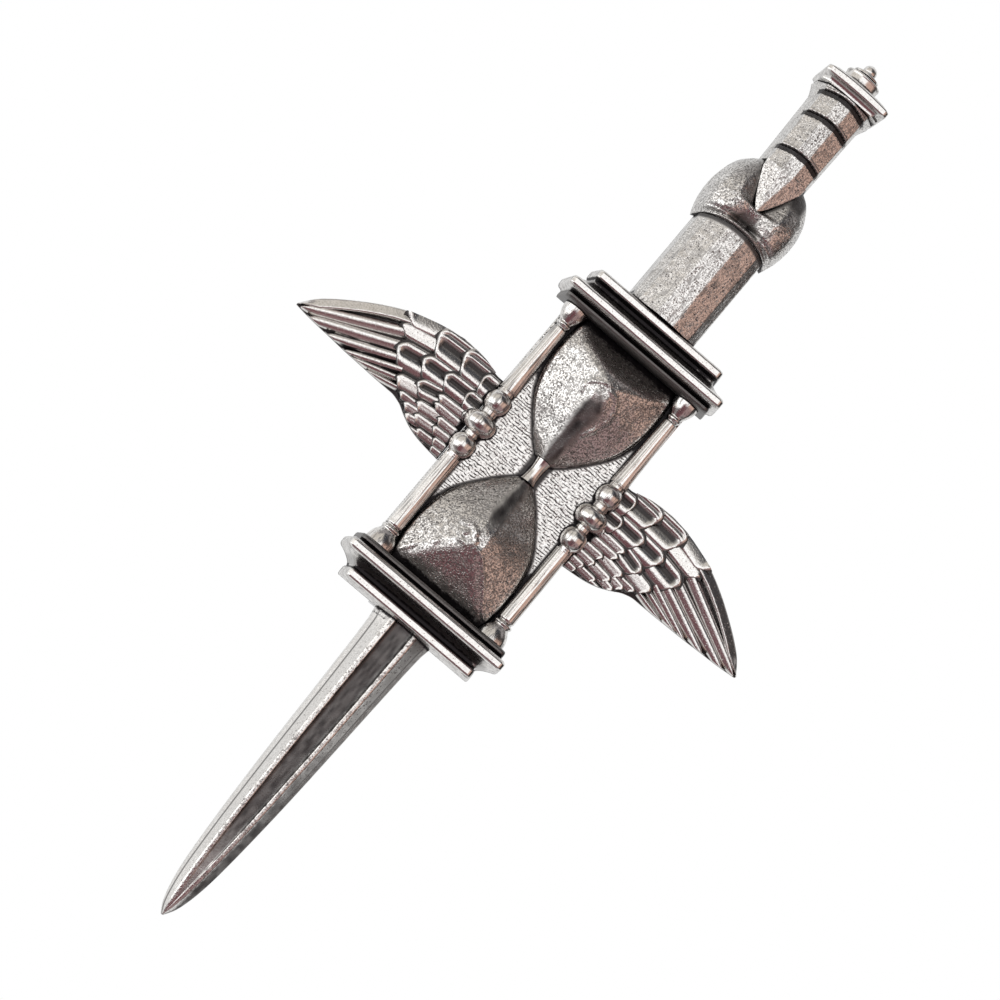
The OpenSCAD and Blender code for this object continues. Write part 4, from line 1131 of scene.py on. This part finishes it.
def collarPaint(x, y, z):  # painted shade below the fold and high on the right, and painted shadow beside the lancet
    low, high = nodeBox("collar")
    up, out = y - low[1], np.abs(x)
    below = belowFold(up, out, collarStyle)
    fromFoot = up - collarStyle["rise"] * (1 - (x / high[0])**2)
    under = darkness["underFold"] * step(0.2, 1.0, below + 0.12 * unevenness(x, y, 0.6, 96))
    under = under * step(0.3, 0.5, fromFoot)
    share = np.clip((up - collarStyle["crestUp"]) / collarStyle["pointReach"], 0, 1)
    point = collarStyle["pointHalf"] * share**collarStyle["pointCurve"]
    beside = step(0.75, 0.15, out - point) * (up > collarStyle["crestUp"] + 0.5)
    upper = step(5, 6.2, up) * np.where(x > 0, step(3.9, 3.2, out), 0.3)
    beside = np.maximum(beside * (0.6 + 0.4 * (x > 0)), upper)
    return np.maximum(under, darkness["besidePoint"] * beside) * (z > backZ + 0.5)


def archPaint(x, y, z):  # shadowed band on the grip, under the collar's edge
    low, high = nodeBox("collar")
    edge = low[1] + collarStyle["rise"] * (1 - (x / high[0])**2)
    return darkness["grip"] * step(0.62, 0.3, edge - y) * (z > backZ + 1)


def groovePaint(x, y, z):  # black in the three grooves of the handle
    dark = 0 * x
    for g in handleStyle["grooves"]:
        d = np.abs(fromGroove(x, y, g, handleStyle))
        dark = np.maximum(dark, step(1.12, 0.9, d) * (np.abs(x) < 2.62) * (z > backZ + 3))
    return darkness["grooves"] * dark


paint(made["blade"], "painted", fullerPaint)
paint(made["blade"], "pitted", fullerPits)
for node, stripe in glassStyle["stripes"].items():
    paint(made[node], "painted", stripePaint(*stripe))
paint(made["handle"], "painted", groovePaint)
paint(made["grip"], "painted", archPaint)
paint(made["collar"], "painted", collarPaint)
paint(made["back_panel"], "painted", panelPaint)
paint(made["lower_cap"], "painted", recessPaint("lower_cap", -1))
paint(made["upper_cap"], "painted", recessPaint("upper_cap", 1))
markRecess(list(made.values()), recessStyle)
print("recesses marked")


finishOf = {
    "blade": "blade", "lower_cap": "moulding", "upper_cap": "moulding", "back_panel": "panel",
    "lower_bulb": "cast", "neck": "polished", "upper_bulb": "cast", "column_left": "column",
    "column_right": "column", "wing_left": "feather", "wing_right": "feather", "grip": "facet",
    "collar": "cast", "handle": "facet", "pommel_cap": "moulding", "finial": "moulding"}

for node, piece in made.items():
    piece.data.materials.clear()
    piece.data.materials.append(finishes[finishOf[node]])
    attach(piece, "root")
    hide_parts(node)


steelStyle = {
    "light": (0.62, 0.62, 0.63, 1), "dull": (0.5, 0.5, 0.51, 1), "lines": 3000.0,
    "lineScale": (1.0, 0.06, 1.0), "roughness": (0.24, 0.4), "bump": 0.2, "bumpDepth": 0.00003}


def steel(name, style):
    material, tree, shader, where = surface(name)
    lines = placed(tree, "lines", {"Vector": where, "Across": style["lineScale"],
                                   "Lines per Metre": style["lines"]})["Lines"]
    tone = colourMix(tree, noise(tree, where, 600.0, 3.0), style["light"], style["dull"])
    feed(tree, shader.inputs["Base Color"], tone)
    feed(tree, shader.inputs["Roughness"], mapped(tree, lines, 0.3, 0.7, *style["roughness"]))
    feed(tree, shader.inputs["Metallic"], 1.0)
    bump = {"Strength": style["bump"], "Distance": style["bumpDepth"], "Height": lines}
    feed(tree, shader.inputs["Normal"], addNode(tree, "ShaderNodeBump", bump).outputs["Normal"])
    return material


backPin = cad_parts["back_pin"]
backPin.data.materials.clear()
backPin.data.materials.append(steel("satin_steel", steelStyle))
print("finishes made")


cameraStyle = {  # millimetres and degrees; the span is what the picture's width shows at the target
    "target": (-0.77, -2.49, 9.0), "distance": 360.0, "fromTip": 6.9, "fromLeft": 3.4, "turn": 40.05,
    "span": 89.58, "sensor": 36}


def makeCamera(style):
    back = Vector((-math.sin(math.radians(style["fromLeft"])), -math.sin(math.radians(style["fromTip"])), 0))
    back.z = math.sqrt(1 - back.length_squared)
    turn = math.radians(style["turn"])
    up = Vector((-math.sin(turn), math.cos(turn), 0))
    up = (up - back * up.dot(back)).normalized()
    right = up.cross(back)
    camera = bpy.data.objects.new("camera", bpy.data.cameras.new("camera"))
    camera.data.sensor_width = style["sensor"]
    camera.data.lens = style["sensor"] * style["distance"] / style["span"]
    camera.data.clip_start, camera.data.clip_end = 0.01, 20
    place = Vector(style["target"]) * mm + back * style["distance"] * mm
    camera.matrix_world = Matrix(((right.x, up.x, back.x, place.x), (right.y, up.y, back.y, place.y),
                                  (right.z, up.z, back.z, place.z), (0, 0, 0, 1)))
    scene.collection.objects.link(camera)
    scene.camera = camera


makeCamera(cameraStyle)

floorStyle = {  # lengths in millimetres; near and far are how pale the metal mirrors it
    "half": 4000, "drop": 0.02, "shown": 1.0, "near": 0.9, "far": 0.03, "from": 26, "to": 40}


def makeFloor(style):  # white to the camera; the metal mirrors it pale near the pin and dark off to its right
    half, z = style["half"] * mm, -style["drop"] * mm
    mesh = bpy.data.meshes.new("floor")
    square = [(-half, -half, z), (half, -half, z), (half, half, z), (-half, half, z)]
    mesh.from_pydata(square, [], [(0, 1, 2, 3)])
    floor = bpy.data.objects.new("floor", mesh)
    scene.collection.objects.link(floor)
    finish, tree, shader, where = surface("white_floor")
    for key, value in (("Base Color", (0, 0, 0, 1)), ("Specular IOR Level", 0), ("Roughness", 1),
                       ("Emission Color", (1, 1, 1, 1))):
        feed(tree, shader.inputs[key], value)
    where = addNode(tree, "ShaderNodeSeparateXYZ", {0: where}).outputs["X"]
    glow = mapped(tree, where, style["from"] * mm, style["to"] * mm, style["near"], style["far"])
    seen = addNode(tree, "ShaderNodeLightPath").outputs["Is Camera Ray"]
    glow = times(tree, glow, maths(tree, "SUBTRACT", 1.0, seen))
    glow = maths(tree, "ADD", glow, times(tree, seen, style["shown"]))
    feed(tree, shader.inputs["Emission Strength"], glow)
    mesh.materials.append(finish)


makeFloor(floorStyle)

studioStyle = {  # what the metal mirrors, by direction: x to the right, y to the pommel, z up
    "shown": (1.0, 1.0, 1.0), "left": (1.9, 1.9, 1.9), "leftUpper": (0.72, 0.68, 0.63),
    "leftLower": (0.16, 0.13, 0.14), "centre": (1.4, 1.4, 1.41), "right": (0.7, 0.48, 0.4),
    "farRight": (0.02, 0.02, 0.02), "above": (0.055, 0.057, 0.068), "below": (0.17, 0.075, 0.085),
    "belowRight": (0.36, 0.25, 0.25), "aboveRight": (0.05, 0.045, 0.045), "horizon": (0.34, 0.32, 0.32)}


def makeStudio(style):
    world = bpy.data.worlds.new("studio")
    scene.world = world
    world.use_nodes = True
    tree = world.node_tree
    tree.nodes.clear()
    direction = addNode(tree, "ShaderNodeTexCoord").outputs["Generated"]
    x, y, z = addNode(tree, "ShaderNodeSeparateXYZ", {0: direction}).outputs
    tint = {key: (*value, 1) for key, value in style.items()}
    left, side = mapped(tree, x, -0.55, -0.25, 1.0, 0.0), mapped(tree, x, 0.22, 0.5)
    strip = colourMix(tree, mapped(tree, x, 0.24, 0.44), tint["centre"], tint["right"])
    strip = colourMix(tree, left, strip, tint["left"])
    strip = colourMix(tree, times(tree, left, mapped(tree, y, -0.02, 0.2)), strip, tint["leftUpper"])
    upper = colourMix(tree, side, tint["above"], tint["aboveRight"])
    slant = maths(tree, "ADD", x, times(tree, y, 0.8))  # the pale side reaches further right low down
    upper = colourMix(tree, mapped(tree, slant, 0.32, 0.52, 1.0, 0.0), upper, tint["leftUpper"])
    lower = colourMix(tree, side, tint["below"], tint["belowRight"])
    lowerLeft = colourMix(tree, mapped(tree, y, -0.62, -0.45), tint["leftLower"], tint["left"])
    lower = colourMix(tree, left, lower, lowerLeft)
    colour = colourMix(tree, mapped(tree, y, 0.27, 0.46), strip, upper)
    colour = colourMix(tree, mapped(tree, y, -0.18, 0.0, 1.0, 0.0), colour, lower)
    ends = mapped(tree, maths(tree, "ABSOLUTE", y), 0.5, 0.7)
    low = times(tree, mapped(tree, z, 0.3, 0.46, 1.0, 0.0), ends)
    colour = colourMix(tree, low, colour, tint["horizon"])
    colour = colourMix(tree, mapped(tree, x, 0.93, 0.99), colour, tint["farRight"])
    seen = addNode(tree, "ShaderNodeLightPath").outputs["Is Camera Ray"]
    colour = colourMix(tree, seen, colour, tint["shown"])
    back = addNode(tree, "ShaderNodeBackground", {"Color": colour})
    addNode(tree, "ShaderNodeOutputWorld", {"Surface": back.outputs[0]})


makeStudio(studioStyle)
scene.view_settings.view_transform = "Standard"
print("camera and light made")
